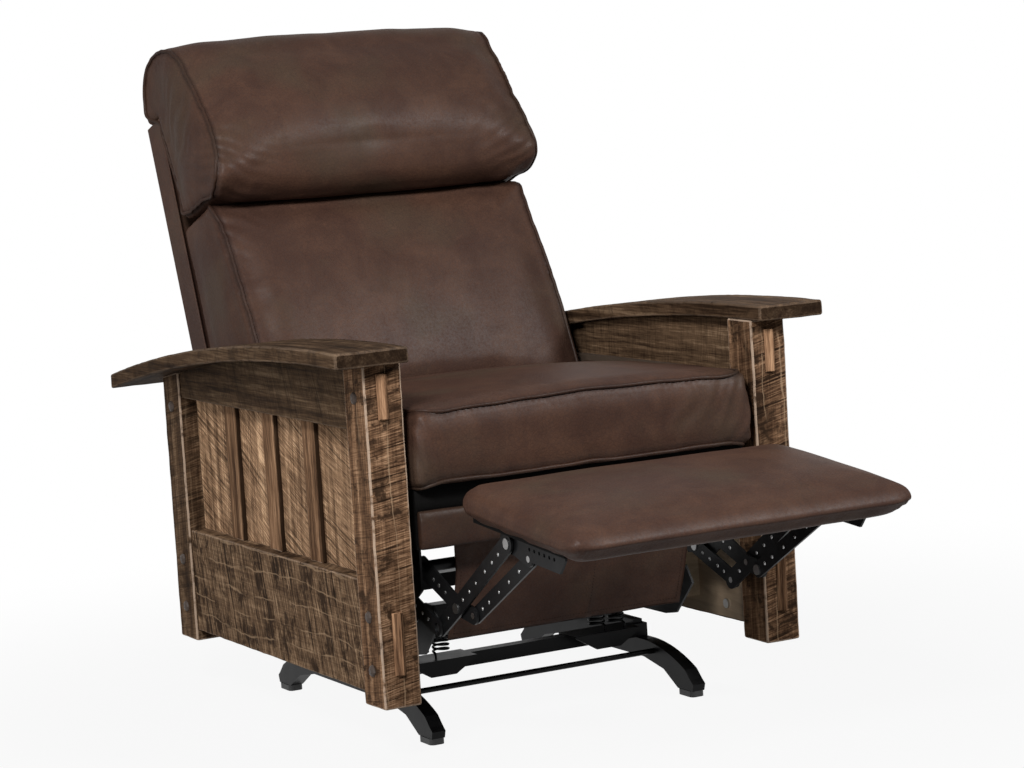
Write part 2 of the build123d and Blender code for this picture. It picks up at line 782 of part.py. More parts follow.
def make_seat_cushion():
    """Boxed seat cushion with a crown and drawn-in sides."""
    long = cushion_rear - cushion_front
    low = seat_top + soft_gap
    # Each row: share of the length, of the half width, of the height at the low and high edge, of the crown
    section_shares = (
        (0.0, 0.955, 0.22, 0.80, 0.35), (0.022, 0.992, 0.03, 0.985, 0.55), (0.07, 1.0, 0.0, 1.0, 0.8),
        (0.3, 0.985, 0.0, 0.99, 1.0), (0.6, 0.982, 0.0, 0.96, 1.0), (0.9, 0.995, 0.0, 0.88, 0.7),
        (0.98, 0.985, 0.03, 0.85, 0.5), (1.0, 0.955, 0.2, 0.7, 0.3),
    )
    faces = []
    for along, wide, bottom, top, crown in section_shares:
        section = boxed_section(cushion_half * wide, low + cushion_high * bottom, low + cushion_high * top,
                                cushion_crown * crown, cushion_side)
        faces.append(Plane.XZ.offset(-(cushion_front + long * along)) * section)
    pieces["seat_cushion"] = loft(faces, ruled=True)


def make_apron():
    """Leather apron that hangs from a slot behind the seat's front board, with soft upright folds."""
    fold_shares = ((-1.0, 0.4), (-0.78, -0.3), (-0.5, 0.2), (-0.2, -0.4), (0.1, 0.3), (0.16, -0.6),
                   (0.24, 0.2), (0.55, -0.3), (0.8, 0.3), (1.0, -0.5))
    t = apron_thick / 2
    z1, z0 = apron_top, apron_low
    neck = upper_pivot[1] - drive_radius - apron_wave
    middle_z = (neck + z0) / 2
    faces = []
    for share, wave in fold_shares:
        shift = apron_wave * wave
        top, low = apron_top_y, apron_low_y + shift
        middle = top + (low - top) * 0.4 + shift * 0.4
        face = side_face([
            Line((top + t, z1), (top - t, z1)), Line((top - t, z1), (top - t, neck)),
            ThreePointArc((top - t, neck), (middle - t, middle_z), (low - t, z0)),
            Line((low - t, z0), (low + t, z0)),
            ThreePointArc((low + t, z0), (middle + t, middle_z), (top + t, neck)),
            Line((top + t, neck), (top + t, z1)),
        ])
        faces.append(Pos(apron_half * share, 0, 0) * face)
    pieces["front_apron"] = loft(faces, ruled=True)


def in_rest(u, v):
    """A point of the footrest's own plane: u forwards, v up, as (Y, Z)."""
    lean = math.radians(rest_tilt)
    return (rest_rear[0] - u * math.cos(lean) - v * math.sin(lean),
            rest_rear[1] - u * math.sin(lean) + v * math.cos(lean))


def closed_face(corners, turn):
    """A YZ face from (end, through) points: through is None for a straight edge."""
    edges = []
    for i, (point, through) in enumerate(corners):
        last = corners[i - 1][0]
        if through is None:
            edges.append(Line(turn(*last), turn(*point)))
        else:
            edges.append(ThreePointArc(turn(*last), turn(*through), turn(*point)))
    return side_face(edges)


def rest_slab(x0, x1, u0, u1, v0, v1):
    """A slab of the footrest's plane."""
    corners = [((u1, v0), None), ((u1, v1), None), ((u0, v1), None), ((u0, v0), None)]
    return across(closed_face(corners, in_rest), x0, x1)


def make_footrest():
    """Padded footrest, its board, and the hole-rowed brackets that carry it."""

    def pad_section(x, deep, high, crown):
        slack = (1 - deep) * rest_deep / 2
        long, tall = rest_deep * deep, rest_high * high
        rise = (rest_high - tall) / 2

        def at(s, h, extra=0.0):
            return (slack + long * s, rise + tall * h + extra)

        corners = [
            (at(0.83, 0), None),
            (at(0.98, 0.30), at(0.93, 0.09)),
            (at(0.92, 1.0, crown * 0.3), at(0.995, 0.72)),
            (at(0.04, 1.0, crown * 0.2), at(0.5, 1.0, crown)),
            (at(0.0, 0.5), at(0.012, 0.85)),
            (at(0.05, 0), at(0.012, 0.15)),
        ]
        return Pos(x, 0, 0) * closed_face(corners, in_rest)

    half_shares = ((0.0, 1.0, 1.0, 1.0), (0.5, 1.0, 1.0, 0.9), (0.88, 1.0, 1.0, 0.5),
                   (0.95, 0.975, 0.95, 0.35), (0.985, 0.93, 0.85, 0.2), (1.0, 0.86, 0.55, 0.1))
    section_shares = [(-x, *rest) for x, *rest in half_shares[:0:-1]] + [*half_shares]
    pad = loft([pad_section(rest_half * x, deep, high, rest_crown * crown)
                for x, deep, high, crown in section_shares], ruled=True)
    inset, end = rest_board_inset, rest_deep * 0.8
    half = rest_board_half
    pieces["footrest_board"] = rest_slab(-half, half, inset, end, 0, rest_board_thick)
    pieces["footrest_pad"] = pad - rest_slab(-half, half, inset, end, -overrun, rest_board_thick)
    start, stop = bracket_start - bracket_high * 0.2, bracket_start + bracket_long
    x0, x1 = upper_in, upper_in + bracket_thick
    corners = [((stop, 0), None), ((start, 0), None), ((start, -bracket_high), None),
               ((stop - bracket_high * 0.5, -bracket_high), None), ((stop, -bracket_high * 0.3), None)]
    bracket = across(closed_face(corners, in_rest), x0, x1)
    bracket += rest_slab(x0 - bracket_flange, x1, start, stop, -bracket_thick, 0)
    bracket += link([rear_hole, front_hole], [pin_head + bracket_thick] * 2, x0, [])
    holes = [(in_rest(stop - bracket_high - bracket_hole_pitch * k, -bracket_high / 2.4), bracket_hole)
             for k in range(bracket_holes)]
    holes += [(rear_hole, pin_radius), (front_hole, pin_radius)]
    for point, radius in holes:
        bracket -= rod(x0 - overrun, x1 + overrun, *point, radius)
    pieces["footrest_brackets"] = both(bracket)
    rear = pin(rear_hole, upper_in, long_in + link_thick + pin_play, high_head=thin_head_high)
    front = pin(front_hole, upper_in, upper_in + link_thick)
    front += rod(short_in + link_thick + pin_play, upper_in, *front_hole, pin_head)
    pieces["footrest_rivets"] = both(Compound([rear, front]))


def in_back(u, v):
    """A point of the back's own plane as (Y, Z)."""
    lean = math.radians(back_tilt)
    return (back_foot[0] + v * math.sin(lean) - u * math.cos(lean),
            back_foot[1] + v * math.cos(lean) + u * math.sin(lean))


def back_slab(x, u0, u1, v0, v1):
    """A slab of the back's plane from -x to x."""
    corners = [((u1, v0), None), ((u1, v1), None), ((u0, v1), None), ((u0, v0), None)]
    return across(closed_face(corners, in_back), -x, x)


def make_back():
    """Back frame, its springs, the leather outside back and the hinge brackets."""
    frame = back_slab(back_half, back_skin, back_thick, 0, back_long - back_skin)
    middle, top = back_long * 0.5, back_long - back_skin - back_rail
    for v0, v1 in ((back_rail, middle - back_rail / 2), (middle + back_rail / 2, top)):
        frame -= back_slab(back_half - stile_wide, back_skin - overrun, back_thick + overrun, v0, v1)
    pieces["back_frame"] = frame
    shell = back_slab(skin_half, 0, back_thick, 0, back_long)
    bracket_space = back_half + back_bracket_thick
    shell -= back_slab(bracket_space, back_skin, back_thick + overrun, -overrun, back_long - back_skin)
    pieces["outside_back"] = shell
    wires = []
    half = back_half - stile_wide
    for v in (0.2, 0.35, 0.65, 0.8):
        pitch = 2 * half / (wire_bends + 1)
        flat = [(-half, 0), (-half + pitch * 0.3, 0)]
        for k in range(wire_bends):
            side = wire_swing if k % 2 else -wire_swing
            flat += [(-half + pitch * (k + 0.7), side), (-half + pitch * (k + 1.3), side)]
        flat += [(half - pitch * 0.3, 0), (half, 0)]
        places = [(x, *in_back(back_thick - wire_drop, v * back_long + w)) for x, w in flat]
        path = FilletPolyline(*places, radius=pitch * 0.12)
        wires.append(sweep(Plane(places[0], z_dir=path % 0) * Circle(wire_radius), path=path))
    pieces["back_springs"] = Compound(wires)
    up = back_bracket_half * 5
    stile = in_back(back_thick / 2, back_bracket_half)
    top = in_back(back_thick / 2, up)
    shape = bar([hinge_point, stile, top], [back_bracket_half, back_bracket_half, back_bracket_half])
    shape -= Pos(*hinge_point) * Circle(hinge_radius + pin_play)
    pieces["back_brackets"] = both(across(Plane.YZ * shape, back_half, back_half + back_bracket_thick))


def make_back_cushions():
    """Lumbar cushion and head roll, crowned across their width."""
    front_low, front_top = back_thick + lumbar_low_front, back_thick + lumbar_top_front
    lean = front_low - front_top

    def lumbar(x, shrink, crown):
        s, turn = shrink, lumbar_round
        rear = back_thick
        corners = [
            ((rear, lumbar_rear_low + s), None),
            ((front_low - lean * 0.05 - s, lumbar_front_low + s), None),
            ((front_low - s, lumbar_front_low + lean * 0.25 + s),
             (front_low - lean * 0.01 - s, lumbar_front_low + lean * 0.06 + s)),
            ((front_top - s, lumbar_top - turn - s),
             (front_low - lean * 0.36 + crown - s, lumbar_top * 0.5)),
            ((front_top - turn - s, lumbar_top - s),
             (front_top - turn * 0.3 - s, lumbar_top - turn * 0.3 - s)),
            ((rear, lumbar_top - s), None),
        ]
        return Pos(x, 0, 0) * closed_face(corners, in_back)

    outer = cushion_half
    side_shares = ((-1.0, 1.0, 0.0), (-0.98, 0.0, 0.1), (-0.8, 0.0, 0.6), (-0.4, 0.0, 0.95), (0.0, 0.0, 1.0),
                   (0.4, 0.0, 0.95), (0.8, 0.0, 0.6), (0.98, 0.0, 0.1), (1.0, 1.0, 0.0))
    sections = [lumbar(outer * x, back_side * s, lumbar_crown * c) for x, s, c in side_shares]
    pieces["back_cushion"] = loft(sections, ruled=True)
    base_v = lumbar_top + soft_gap

    def roll(x, shrink, crown):
        def at(forward, up, more=0.0):
            u = back_thick + (roll_front - shrink * 2) * forward + crown * more
            return (u, base_v + shrink + (roll_high - shrink * 2) * up + crown * more * 0.5)

        rear_top = base_v + shrink + (roll_high - shrink * 2) * 0.8
        rest_v = back_long + soft_gap
        corners = [
            ((back_thick + soft_gap, base_v + shrink), None),
            (at(0.62, 0.0), None),
            (at(0.99, 0.035), (at(0.82, 0.0)[0], base_v + shrink - roll_drop * crown / roll_crown)),
            (at(0.97, 0.16, 0.4), at(1.0, 0.09, 0.2)),
            (at(0.60, 0.80, 0.9), at(0.82, 0.47, 1.2)),
            (at(0.29, 0.985, 0.8), at(0.48, 0.925, 1.0)),
            (at(0.0, 0.98, 0.6), at(0.14, 0.998, 0.8)),
            ((back_thick * 0.25 + shrink, rear_top),
             (back_thick * 0.52 + shrink, base_v + (roll_high - shrink) * 0.92)),
            ((shrink, rest_v), None),
            ((back_thick + soft_gap, rest_v), None),
        ]
        return Pos(x, 0, 0) * closed_face(corners, in_back)

    roll_shares = ((-1.0, 1.0, 0.1), (-0.98, 0.0, 0.2), (-0.8, 0.0, 0.7), (-0.4, 0.0, 1.0), (0.0, 0.0, 1.0),
                   (0.4, 0.0, 1.0), (0.8, 0.0, 0.7), (0.98, 0.0, 0.2), (1.0, 1.0, 0.1))
    sections = [roll(roll_half * x, back_side * 2 * s, roll_crown * c) for x, s, c in roll_shares]
    pieces["head_roll"] = loft(sections, ruled=True)


make_sides()
make_base()
make_frame()
make_swings()
make_footrest_links()
make_seat()
make_seat_cushion()
make_apron()
make_footrest()
make_back()
make_back_cushions()

for name, piece in pieces.items():
    export_step(piece, "parts/" + name + ".step")

corners = Compound([solid for piece in pieces.values() for solid in piece.solids()]).bounding_box()
print(len(pieces), "pieces, box", corners.min, corners.max)
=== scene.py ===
"""Looks of a mission style rocker recliner: rough wood sides, dark brown leather and a steel mechanism."""
import math

import bmesh
import bpy
import numpy as np
from bpy.props import FloatProperty, FloatVectorProperty, IntProperty, PointerProperty
from mathutils import Matrix, Vector, noise
from mathutils.bvhtree import BVHTree
from mathutils.kdtree import KDTree


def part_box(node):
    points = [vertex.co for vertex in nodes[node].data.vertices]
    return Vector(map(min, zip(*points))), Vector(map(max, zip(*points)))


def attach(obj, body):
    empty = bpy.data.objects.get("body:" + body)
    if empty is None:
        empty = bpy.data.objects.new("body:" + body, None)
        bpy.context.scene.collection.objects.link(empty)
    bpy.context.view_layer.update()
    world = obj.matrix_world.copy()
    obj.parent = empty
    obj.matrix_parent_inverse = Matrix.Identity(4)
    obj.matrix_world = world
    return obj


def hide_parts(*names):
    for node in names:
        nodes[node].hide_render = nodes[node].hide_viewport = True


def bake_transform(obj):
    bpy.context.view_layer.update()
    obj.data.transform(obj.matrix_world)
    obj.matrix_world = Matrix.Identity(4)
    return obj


bl_info = {
    "name": "Rocker recliner",
    "version": (1, 0, 0),
    "blender": (4, 5, 0),
    "location": "View3D > Sidebar > Recliner",
    "description": "Builds the wood, leather and steel looks of a rocker recliner",
    "category": "Object",
}

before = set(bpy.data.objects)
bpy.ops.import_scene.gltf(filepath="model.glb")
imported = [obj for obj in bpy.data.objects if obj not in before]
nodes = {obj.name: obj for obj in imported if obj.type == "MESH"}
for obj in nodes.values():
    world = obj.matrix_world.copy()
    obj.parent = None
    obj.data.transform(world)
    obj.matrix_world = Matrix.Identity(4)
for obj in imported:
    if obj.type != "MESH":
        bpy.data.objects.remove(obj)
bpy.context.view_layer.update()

# All lengths are in metres. The back's plane: its lean, its foot, and the ways up it and out of its front
BACK_TILT = math.radians(19.1)
BACK_FOOT = Vector((0, 0.532, 0.400))
UP_BACK = Vector((0, math.sin(BACK_TILT), math.cos(BACK_TILT)))
AHEAD = Vector((0, -math.cos(BACK_TILT), math.sin(BACK_TILT)))


# Nodes


class Sock:
    """A node's output socket; sums on it add Math nodes."""

    def __init__(self, tree, socket):
        self.tree, self.socket = tree, socket

    def math(self, operation, *others, clamp=False):
        return self.tree.math(operation, self, *others, clamp=clamp)

    def __add__(self, other):
        return self.math("ADD", other)

    __radd__ = __add__

    def __sub__(self, other):
        return self.math("SUBTRACT", other)

    def __rsub__(self, other):
        return self.tree.math("SUBTRACT", other, self)

    def __mul__(self, other):
        return self.math("MULTIPLY", other)

    __rmul__ = __mul__

    def clamped(self):
        return self.math("ADD", 0.0, clamp=True)

    def step(self, low, high):
        """Rises smoothly from 0 at low to 1 at high."""
        settings = {"interpolation_type": "SMOOTHSTEP"}
        return self.tree.node("ShaderNodeMapRange", settings, {0: self, 1: low, 2: high, 3: 0.0, 4: 1.0})


class Tree:
    """The nodes of a world, of a geometry group, or of a new material when given a name."""

    def __init__(self, owner):
        self.owner = bpy.data.materials.new(owner) if isinstance(owner, str) else owner
        if hasattr(self.owner, "use_nodes"):
            self.owner.use_nodes = True
        self.made = getattr(self.owner, "node_tree", self.owner)
        self.made.nodes.clear()

    def node(self, kind, settings=None, sockets=None, out=0):
        """Adds a node: its type, its settings, then the values or links of its sockets."""
        made = self.made.nodes.new(kind)
        for key, value in (settings or {}).items():
            if key == "stops":
                ramp = made.color_ramp
                while len(ramp.elements) < len(value):
                    ramp.elements.new(1.0)
                for element, (place, color) in zip(ramp.elements, value):
                    element.position, element.color = place, color
            else:
                setattr(made, key, value)
        for key, value in (sockets or {}).items():
            if isinstance(value, Sock):
                self.made.links.new(value.socket, made.inputs[key])
            else:
                made.inputs[key].default_value = value
        return Sock(self, made.outputs[out]) if len(made.outputs) else None

    def math(self, operation, *values, clamp=False):
        settings = {"operation": operation, "use_clamp": clamp}
        return self.node("ShaderNodeMath", settings, dict(enumerate(values)))

    def vector(self, operation, *values, out=0):
        return self.node("ShaderNodeVectorMath", {"operation": operation}, dict(enumerate(values)), out)

    def sized(self, vector, factor):
        return self.node("ShaderNodeVectorMath", {"operation": "SCALE"}, {0: vector, "Scale": factor})

    def place(self):
        return self.node("ShaderNodeTexCoord", None, None, "Object")

    def attribute(self, name, out="Fac"):
        return self.node("ShaderNodeAttribute", {"attribute_name": name}, None, out)

    def parts(self, vector):
        """The X, Y and Z of a vector."""
        first = self.node("ShaderNodeSeparateXYZ", None, {0: vector})
        return [Sock(self, output) for output in first.socket.node.outputs]

    def stretched(self, vector, scale):
        """A texture's vector and scale, where the scale may be one number or one for each axis."""
        return (self.vector("MULTIPLY", vector, scale), 1.0) if isinstance(scale, tuple) else (vector, scale)

    def cloud(self, vector, scale, detail=2.0, rough=0.5, bend=0.0):
        vector, scale = self.stretched(vector, scale)
        sockets = {"Vector": vector, "Scale": scale, "Detail": detail, "Roughness": rough, "Distortion": bend}
        return self.node("ShaderNodeTexNoise", None, sockets)

    def cells(self, vector, scale, feature="F1", spread=1.0):
        vector, scale = self.stretched(vector, scale)
        sockets = {"Vector": vector, "Scale": scale, "Randomness": spread}
        return self.node("ShaderNodeTexVoronoi", {"feature": feature}, sockets, "Distance")

    def mix(self, base, *layers):
        """Colours laid over a base in turn, each with its share and, if not MIX, its way of blending."""
        for share, color, *blend in layers:
            settings = {"data_type": "RGBA", "blend_type": blend[0] if blend else "MIX"}
            base = self.node("ShaderNodeMix", settings, {0: share, 6: base, 7: color}, 2)
        return base

    def bump(self, height, strength, depth):
        return self.node("ShaderNodeBump", None, {"Height": height, "Strength": strength, "Distance": depth})

    def surface(self, **sockets):
        """Ends the material in one surface shader."""
        named = {key.replace("_", " "): value for key, value in sockets.items()}
        shader = self.node("ShaderNodeBsdfPrincipled", None, named)
        self.node("ShaderNodeOutputMaterial", None, {"Surface": shader})
        return self.owner


def rgba(color, share=1.0):
    return (*(part * share for part in color), 1.0)


# Sizes and colours


def color_property(name, description, default):
    return FloatVectorProperty(name=name, description=description, default=default, subtype="COLOR", min=0,
                               max=1)


def size_property(name, description, default):
    return FloatProperty(name=name, description=description, default=default, subtype="DISTANCE",
                         unit="LENGTH")


def number_property(name, description, default):
    return FloatProperty(name=name, description=description, default=default)


class WoodLook(bpy.types.PropertyGroup):
    """Stain and sawn surface of the wood"""

    dark: color_property("Dark stain", "Stain in the pores and saw marks", (0.026, 0.0145, 0.0085))
    middle: color_property("Stain", "Main colour of the stained wood", (0.178, 0.109, 0.063))
    light: color_property("Light stain", "Where the stain is thin", (0.370, 0.250, 0.155))
    warm: color_property("Warm glaze", "Tint of the redder boards", (0.95, 0.72, 0.62))
    rubbed: color_property("Rubbed edge", "Bare wood on worn edges", (0.420, 0.310, 0.230))
    ragged: size_property("Ragged edge", "How far the sawn edges wander", 0.0006)
    plywood: color_property("Plywood", "Colour of the raw inner panels", (0.400, 0.290, 0.190))


class LeatherLook(bpy.types.PropertyGroup):
    """Colour, welts and swell of the leather cushions"""

    main: color_property("Leather", "Main colour of the leather", (0.061, 0.0315, 0.0225))
    warm: color_property("Warm patches", "Colour where the finish is thin", (0.094, 0.048, 0.031))
    olive: color_property("Olive patches", "Colour where wax has gathered", (0.074, 0.050, 0.033))
    # The deep tone also serves as painted shade beside the welts
    deep: color_property("Deep tone", "Colour in seams and folds", (0.014, 0.0068, 0.0054))
    welt: size_property("Welt radius", "Radius of the welt cord under its leather", 0.0033)
    voxel: size_property("Mesh step", "Step of the cushions' mesh before subdivision", 0.0075)
    pressure: number_property("Pressure", "Pressure that swells the cushions", 4.0)
    pucker: size_property("Pucker depth", "Depth of the puckers beside a welt", 0.0011)


class SteelLook(bpy.types.PropertyGroup):
    """Colours of the steel parts and their small rivets"""

    black: color_property("Black enamel", "Colour of the painted steel", (0.0060, 0.0060, 0.0064))
    bright: color_property("Plated steel", "Colour of the plated bolts", (0.60, 0.59, 0.57))
    rivet: size_property("Rivet radius", "Radius of the small rivets on the links", 0.0031)
    seed: IntProperty(name="Seed", description="Seed of the rivets' small turns", default=3)


class StageLook(bpy.types.PropertyGroup):
    """Floor, lamps and camera"""

    floor: size_property("Floor", "Side of the square floor", 24.0)
    lens: number_property("Lens", "Focal length in millimetres", 103.66)
    key: number_property("Key lamp", "Power of the key lamp in watts", 175.0)
    fill: number_property("Fill lamp", "Power of the fill lamp in watts", 130.0)
    side: number_property("Side lamp", "Power of the lamp at the side in watts", 45.0)
    sky: number_property("Room light", "Light from all around", 0.065)


def looks(name):
    return getattr(bpy.context.scene, "recliner_" + name)


# Materials


def rough_wood(name):
    """Rough-sawn stained wood; the boards' attributes give grain, saw lines and tone."""
    look, tree = looks("wood"), Tree(name)
    place = tree.place()
    grain, cut = tree.attribute("grain", "Vector"), tree.attribute("cut", "Vector")
    tone, blotch, warm = tree.parts(tree.attribute("look", "Vector"))
    wear, marks = tree.attribute("wear"), tree.attribute("marks")
    fibres = tree.cloud(grain, (340, 340, 15), 4.0, 0.66)
    streaks = tree.cloud(grain, (62, 62, 2.6), 3.0, 0.55, 0.3)
    dashes = tree.cloud(cut, (520, 26, 1), 3.0, 0.6)
    lines = tree.cloud(cut, (175, 3.2, 1), 2.0, 0.45, 0.10)
    held = tree.cloud(place, 13.0).step(0.36, 0.56)
    cuts = lines.step(0.590, 0.630) * held * marks
    bands = tree.cloud(cut, (75, 6, 1), 4.0, 0.7)
    blots = tree.cloud(place, 27.0, 5.0, 0.68, 0.4) + (dashes - 0.5) * 0.3 + (bands - 0.5) * marks * 0.7
    wander = tree.cloud(grain, (9, 9, 3.0), 5.0, 0.62)
    first, second, _ = tree.parts(grain)
    level = (first + second) * 27 + wander * 1.6
    cracks = 1 - (level.math("FRACT") - 0.5).math("ABSOLUTE").step(0.012, 0.050)
    knots = 1 - tree.cells(grain, (11, 11, 3.2)).step(0.06, 0.20)
    plain = 1 - marks * 0.55
    light = ((fibres - 0.5) * 1.5 + (streaks - 0.5) * 1.7) * plain + (dashes - 0.5) * marks * 2.2 + 0.56
    stain = tree.mix(rgba(look.dark, 1.5),
                     (light.step(0.15, 0.80), rgba(look.middle)),
                     (light.step(0.62, 1.05), rgba(look.light)),
                     (warm, rgba(look.warm), "MULTIPLY"),
                     (blots.step(0.49, 0.64) * blotch, rgba(look.dark)),
                     ((cuts * 0.9 + knots * 0.5).clamped(), rgba(look.dark, 0.5)),
                     (cracks * held * marks * blotch * 0.55, rgba(look.light)))
    rubbed = wear.clamped() * tree.cloud(place, 42.0, 4.0, 0.6).step(0.30, 0.50)
    # Wear above 0 is rubbed bare wood; below 0 it darkens the end grain, and paints shade on the battens'
    # sides
    stain = tree.mix(tree.sized(stain, tone),
                     (rubbed * 0.85, rgba(look.rubbed)),
                     ((wear * -1).clamped(), rgba(look.dark, 0.45)))
    height = fibres * 0.35 + streaks * 0.25 + dashes * marks * 0.35 - cuts - knots * 0.3
    return tree.surface(Base_Color=stain, Roughness=0.62 + fibres * 0.2, Specular_IOR_Level=0.03,
                        Normal=tree.bump(height, 0.9, 0.0014))


def plywood(name, color, stained_from=None):
    """Raw plywood or sawn frame wood by object coordinates, stained above a height if one is given."""
    tree = Tree(name)
    place = tree.place()
    across, depth, height = tree.parts(place)
    figure = tree.cloud(place, (9, 9, 46), 3.0, 0.55, 0.8)
    pores = tree.cloud(place, (380, 24, 900), 3.0, 0.6)
    plies = (across * 330).math("FRACT").step(0.42, 0.58)
    smudge = tree.cloud(place, 14.0, 3.0).step(0.5, 0.75)
    base = tree.mix(rgba(color, 0.72),
                    (figure.step(0.35, 0.7), rgba(color, 1.15)),
                    (pores.step(0.52, 0.72) * 0.35, rgba(color, 0.35)),
                    (plies * 0.12, rgba(color, 0.6)),
                    (smudge * 0.3, rgba(color, 0.4)))
    if stained_from is not None:
        front = (smudge * 0.02 - depth).step(0.180, 0.205)
        dark = (height.step(stained_from, stained_from + 0.012) + front).clamped()
        base = tree.mix(base, (dark * 0.92, rgba(looks("wood").dark)))
    return tree.surface(Base_Color=base, Roughness=0.6 + pores * 0.15, Normal=tree.bump(pores, 0.3, 0.0004))


def leather(name, share=1.0):
    """Dark brown leather: soft mottling, pebbled grain, and painted shade in the seams."""
    look, tree = looks("leather"), Tree(name)
    place, seam = tree.place(), tree.attribute("seam")
    mottle = tree.cloud(place, 15.0, 5.0, 0.62, 0.5)
    veil = tree.cloud(place, 4.5, 3.0)
    olive = tree.cloud(tree.vector("ADD", place, (3.1, 1.7, 0.4)), 6.0, 4.0, 0.55)
    fine = tree.cloud(place, 210.0, 3.0, 0.65)
    thin = tree.cloud(place, 48.0, 5.0, 0.7).step(0.57, 0.75)
    pebbles = tree.cells(tree.vector("ADD", place, (0.31, 0.77, 0.13)), 430.0, "SMOOTH_F1", 0.9)
    veins = tree.cells(place, 170.0, "DISTANCE_TO_EDGE")
    creases = 1 - tree.cells(place, 30.0, "DISTANCE_TO_EDGE").step(0.0, 0.09)
    base = tree.mix(rgba(look.main, share),
                    ((veil * 0.5 + mottle * 0.6).step(0.42, 0.72), rgba(look.warm, share)),
                    (olive.step(0.48, 0.70) * 0.7, rgba(look.olive, share)),
                    ((fine - 0.5) * 0.8 + 0.36, rgba(look.deep, share * 1.3)),
                    (thin * 0.22, rgba(look.warm, share * 1.2)),
                    ((1 - veins.step(0.0, 0.10)) * 0.25, rgba(look.deep, share)),
                    # Painted shade beside the welts
                    ((seam * 0.85).clamped(), rgba(look.deep, share * 0.6)))
    height = pebbles * 0.55 + veins.step(0.0, 0.25) * 0.25 + fine * 0.45 - creases * 0.10
    rough = 0.36 + mottle * 0.12 + fine * 0.10 + seam * 0.15
    worn = 0.058 + (mottle - 0.5) * 0.06 + (fine - 0.5) * 0.14
    return tree.surface(Base_Color=base, Roughness=rough, Specular_IOR_Level=0.01,
                        Coat_Weight=worn.clamped(), Coat_Roughness=0.43, Coat_IOR=2.2,
                        Normal=tree.bump(height, 0.60, 0.0009))


def enamel(name, color, gloss):
    """Painted steel with a little dust and rubbed spots."""
    tree = Tree(name)
    place = tree.place()
    dust, peel = tree.cloud(place, 26.0, 4.0, 0.6), tree.cloud(place, 700.0, 1.0)
    base = tree.mix(rgba(color), (dust.step(0.52, 0.80) * 0.4, rgba(color, 2.2)))
    return tree.surface(Base_Color=base, Roughness=gloss + dust * 0.22, Normal=tree.bump(peel, 0.12, 0.0003),
                        Specular_IOR_Level=0.10)


def plated(name, color, rough):
    """Bare or plated steel with fine rubbing."""
    tree = Tree(name)
    rub = tree.cloud(tree.place(), (900, 60, 300), 3.0)
    base = tree.mix(rgba(color, 0.7), (rub, rgba(color)))
    return tree.surface(Base_Color=base, Metallic=1.0, Roughness=rough + rub * 0.15)


def plain_cloth(name, color, scale):
    """A plain weave by object coordinates."""
    tree = Tree(name)
    x, y, z = tree.parts(tree.vector("MULTIPLY", tree.place(), (scale, scale, scale)))
    weave = x.math("SINE") * (z + y).math("SINE")
    base = tree.mix(rgba(color, 0.6), (weave * 0.5 + 0.5, rgba(color, 1.3)))
    return tree.surface(Base_Color=base, Roughness=0.9, Normal=tree.bump(weave, 0.4, 0.0004),
                        Specular_IOR_Level=0.1)


def plastic(name, color):
    """Moulded plastic with a fine grain."""
    tree = Tree(name)
    grain = tree.cloud(tree.place(), 900.0)
    return tree.surface(Base_Color=rgba(color), Roughness=0.45 + grain * 0.2,
                        Normal=tree.bump(grain, 0.2, 0.0003))


_finishes = {}


def finish(name):
    """A material by name, made once."""
    if name not in _finishes:
        steel, wood = looks("steel"), looks("wood")
        maker, *values = {
            "rough_wood": (rough_wood,),
            "half_stained": (plywood, wood.plywood, 0.31),
            "peg_wood": (enamel, (0.058, 0.044, 0.037), 0.30),
            "frame_wood": (plywood, (0.42, 0.32, 0.21)),
            "leather": (leather,),
            # Leather at 0.62 of its colour: on the welts, and as painted shade on the seat's front board and
            # on the back frame in the gaps beside the cushions
            "welt_leather": (leather, 0.62),
            "black_steel": (enamel, steel.black, 0.26),
            "rivet_steel": (plated, (0.42, 0.42, 0.42), 0.24),
            "bright_steel": (plated, steel.bright, 0.25),
            "spring_steel": (plated, (0.35, 0.34, 0.33), 0.35),
            "black_plastic": (plastic, (0.015, 0.015, 0.015)),
            "black_cloth": (plain_cloth, (0.0045, 0.0042, 0.0040), 5200.0),
            "thread": (plain_cloth, (0.030, 0.017, 0.012), 9000.0),
        }[name]
        _finishes[name] = maker(name, *values)
    return _finishes[name]


# Meshes


def merged(node):
    """A CAD node's mesh with its doubles merged."""
    made = bmesh.new()
    made.from_mesh(nodes[node].data)
    bmesh.ops.remove_doubles(made, verts=made.verts, dist=1e-6)
    return made


def islands(made):
    """The connected parts of a mesh, each as a list of its vertices."""
    seen, groups = set(), []
    for first in made.verts:
        if first in seen:
            continue
        seen.add(first)
        group = [first]
        for vert in group:
            others = {edge.other_vert(vert) for edge in vert.link_edges} - seen
            seen |= others
            group += others
        groups.append(group)
    return groups


def corners_of(group):
    """The low and high corners of a group of vertices."""
    return [Vector([pick(vert.co[k] for vert in group) for k in range(3)]) for pick in (min, max)]


def new_object(name, mesh):
    obj = bpy.data.objects.new(name, mesh)
    bpy.context.scene.collection.objects.link(obj)
    return obj


def to_object(name, made):
    """Turns a bmesh into an object."""
    mesh = bpy.data.meshes.new(name)
    made.to_mesh(mesh)
    made.free()
    return new_object(name, mesh)


def listed(name, verts, edges=(), faces=()):
    """An object from lists of places, edges and faces."""
    mesh = bpy.data.meshes.new(name)
    mesh.from_pydata([tuple(vert) for vert in verts], edges, faces)
    return new_object(name, mesh)


def modifier(obj, kind, **settings):
    """Adds a modifier with its settings."""
    made = obj.modifiers.new(kind.lower(), kind)
    for key, value in settings.items():
        setattr(made, key, value)
    return made


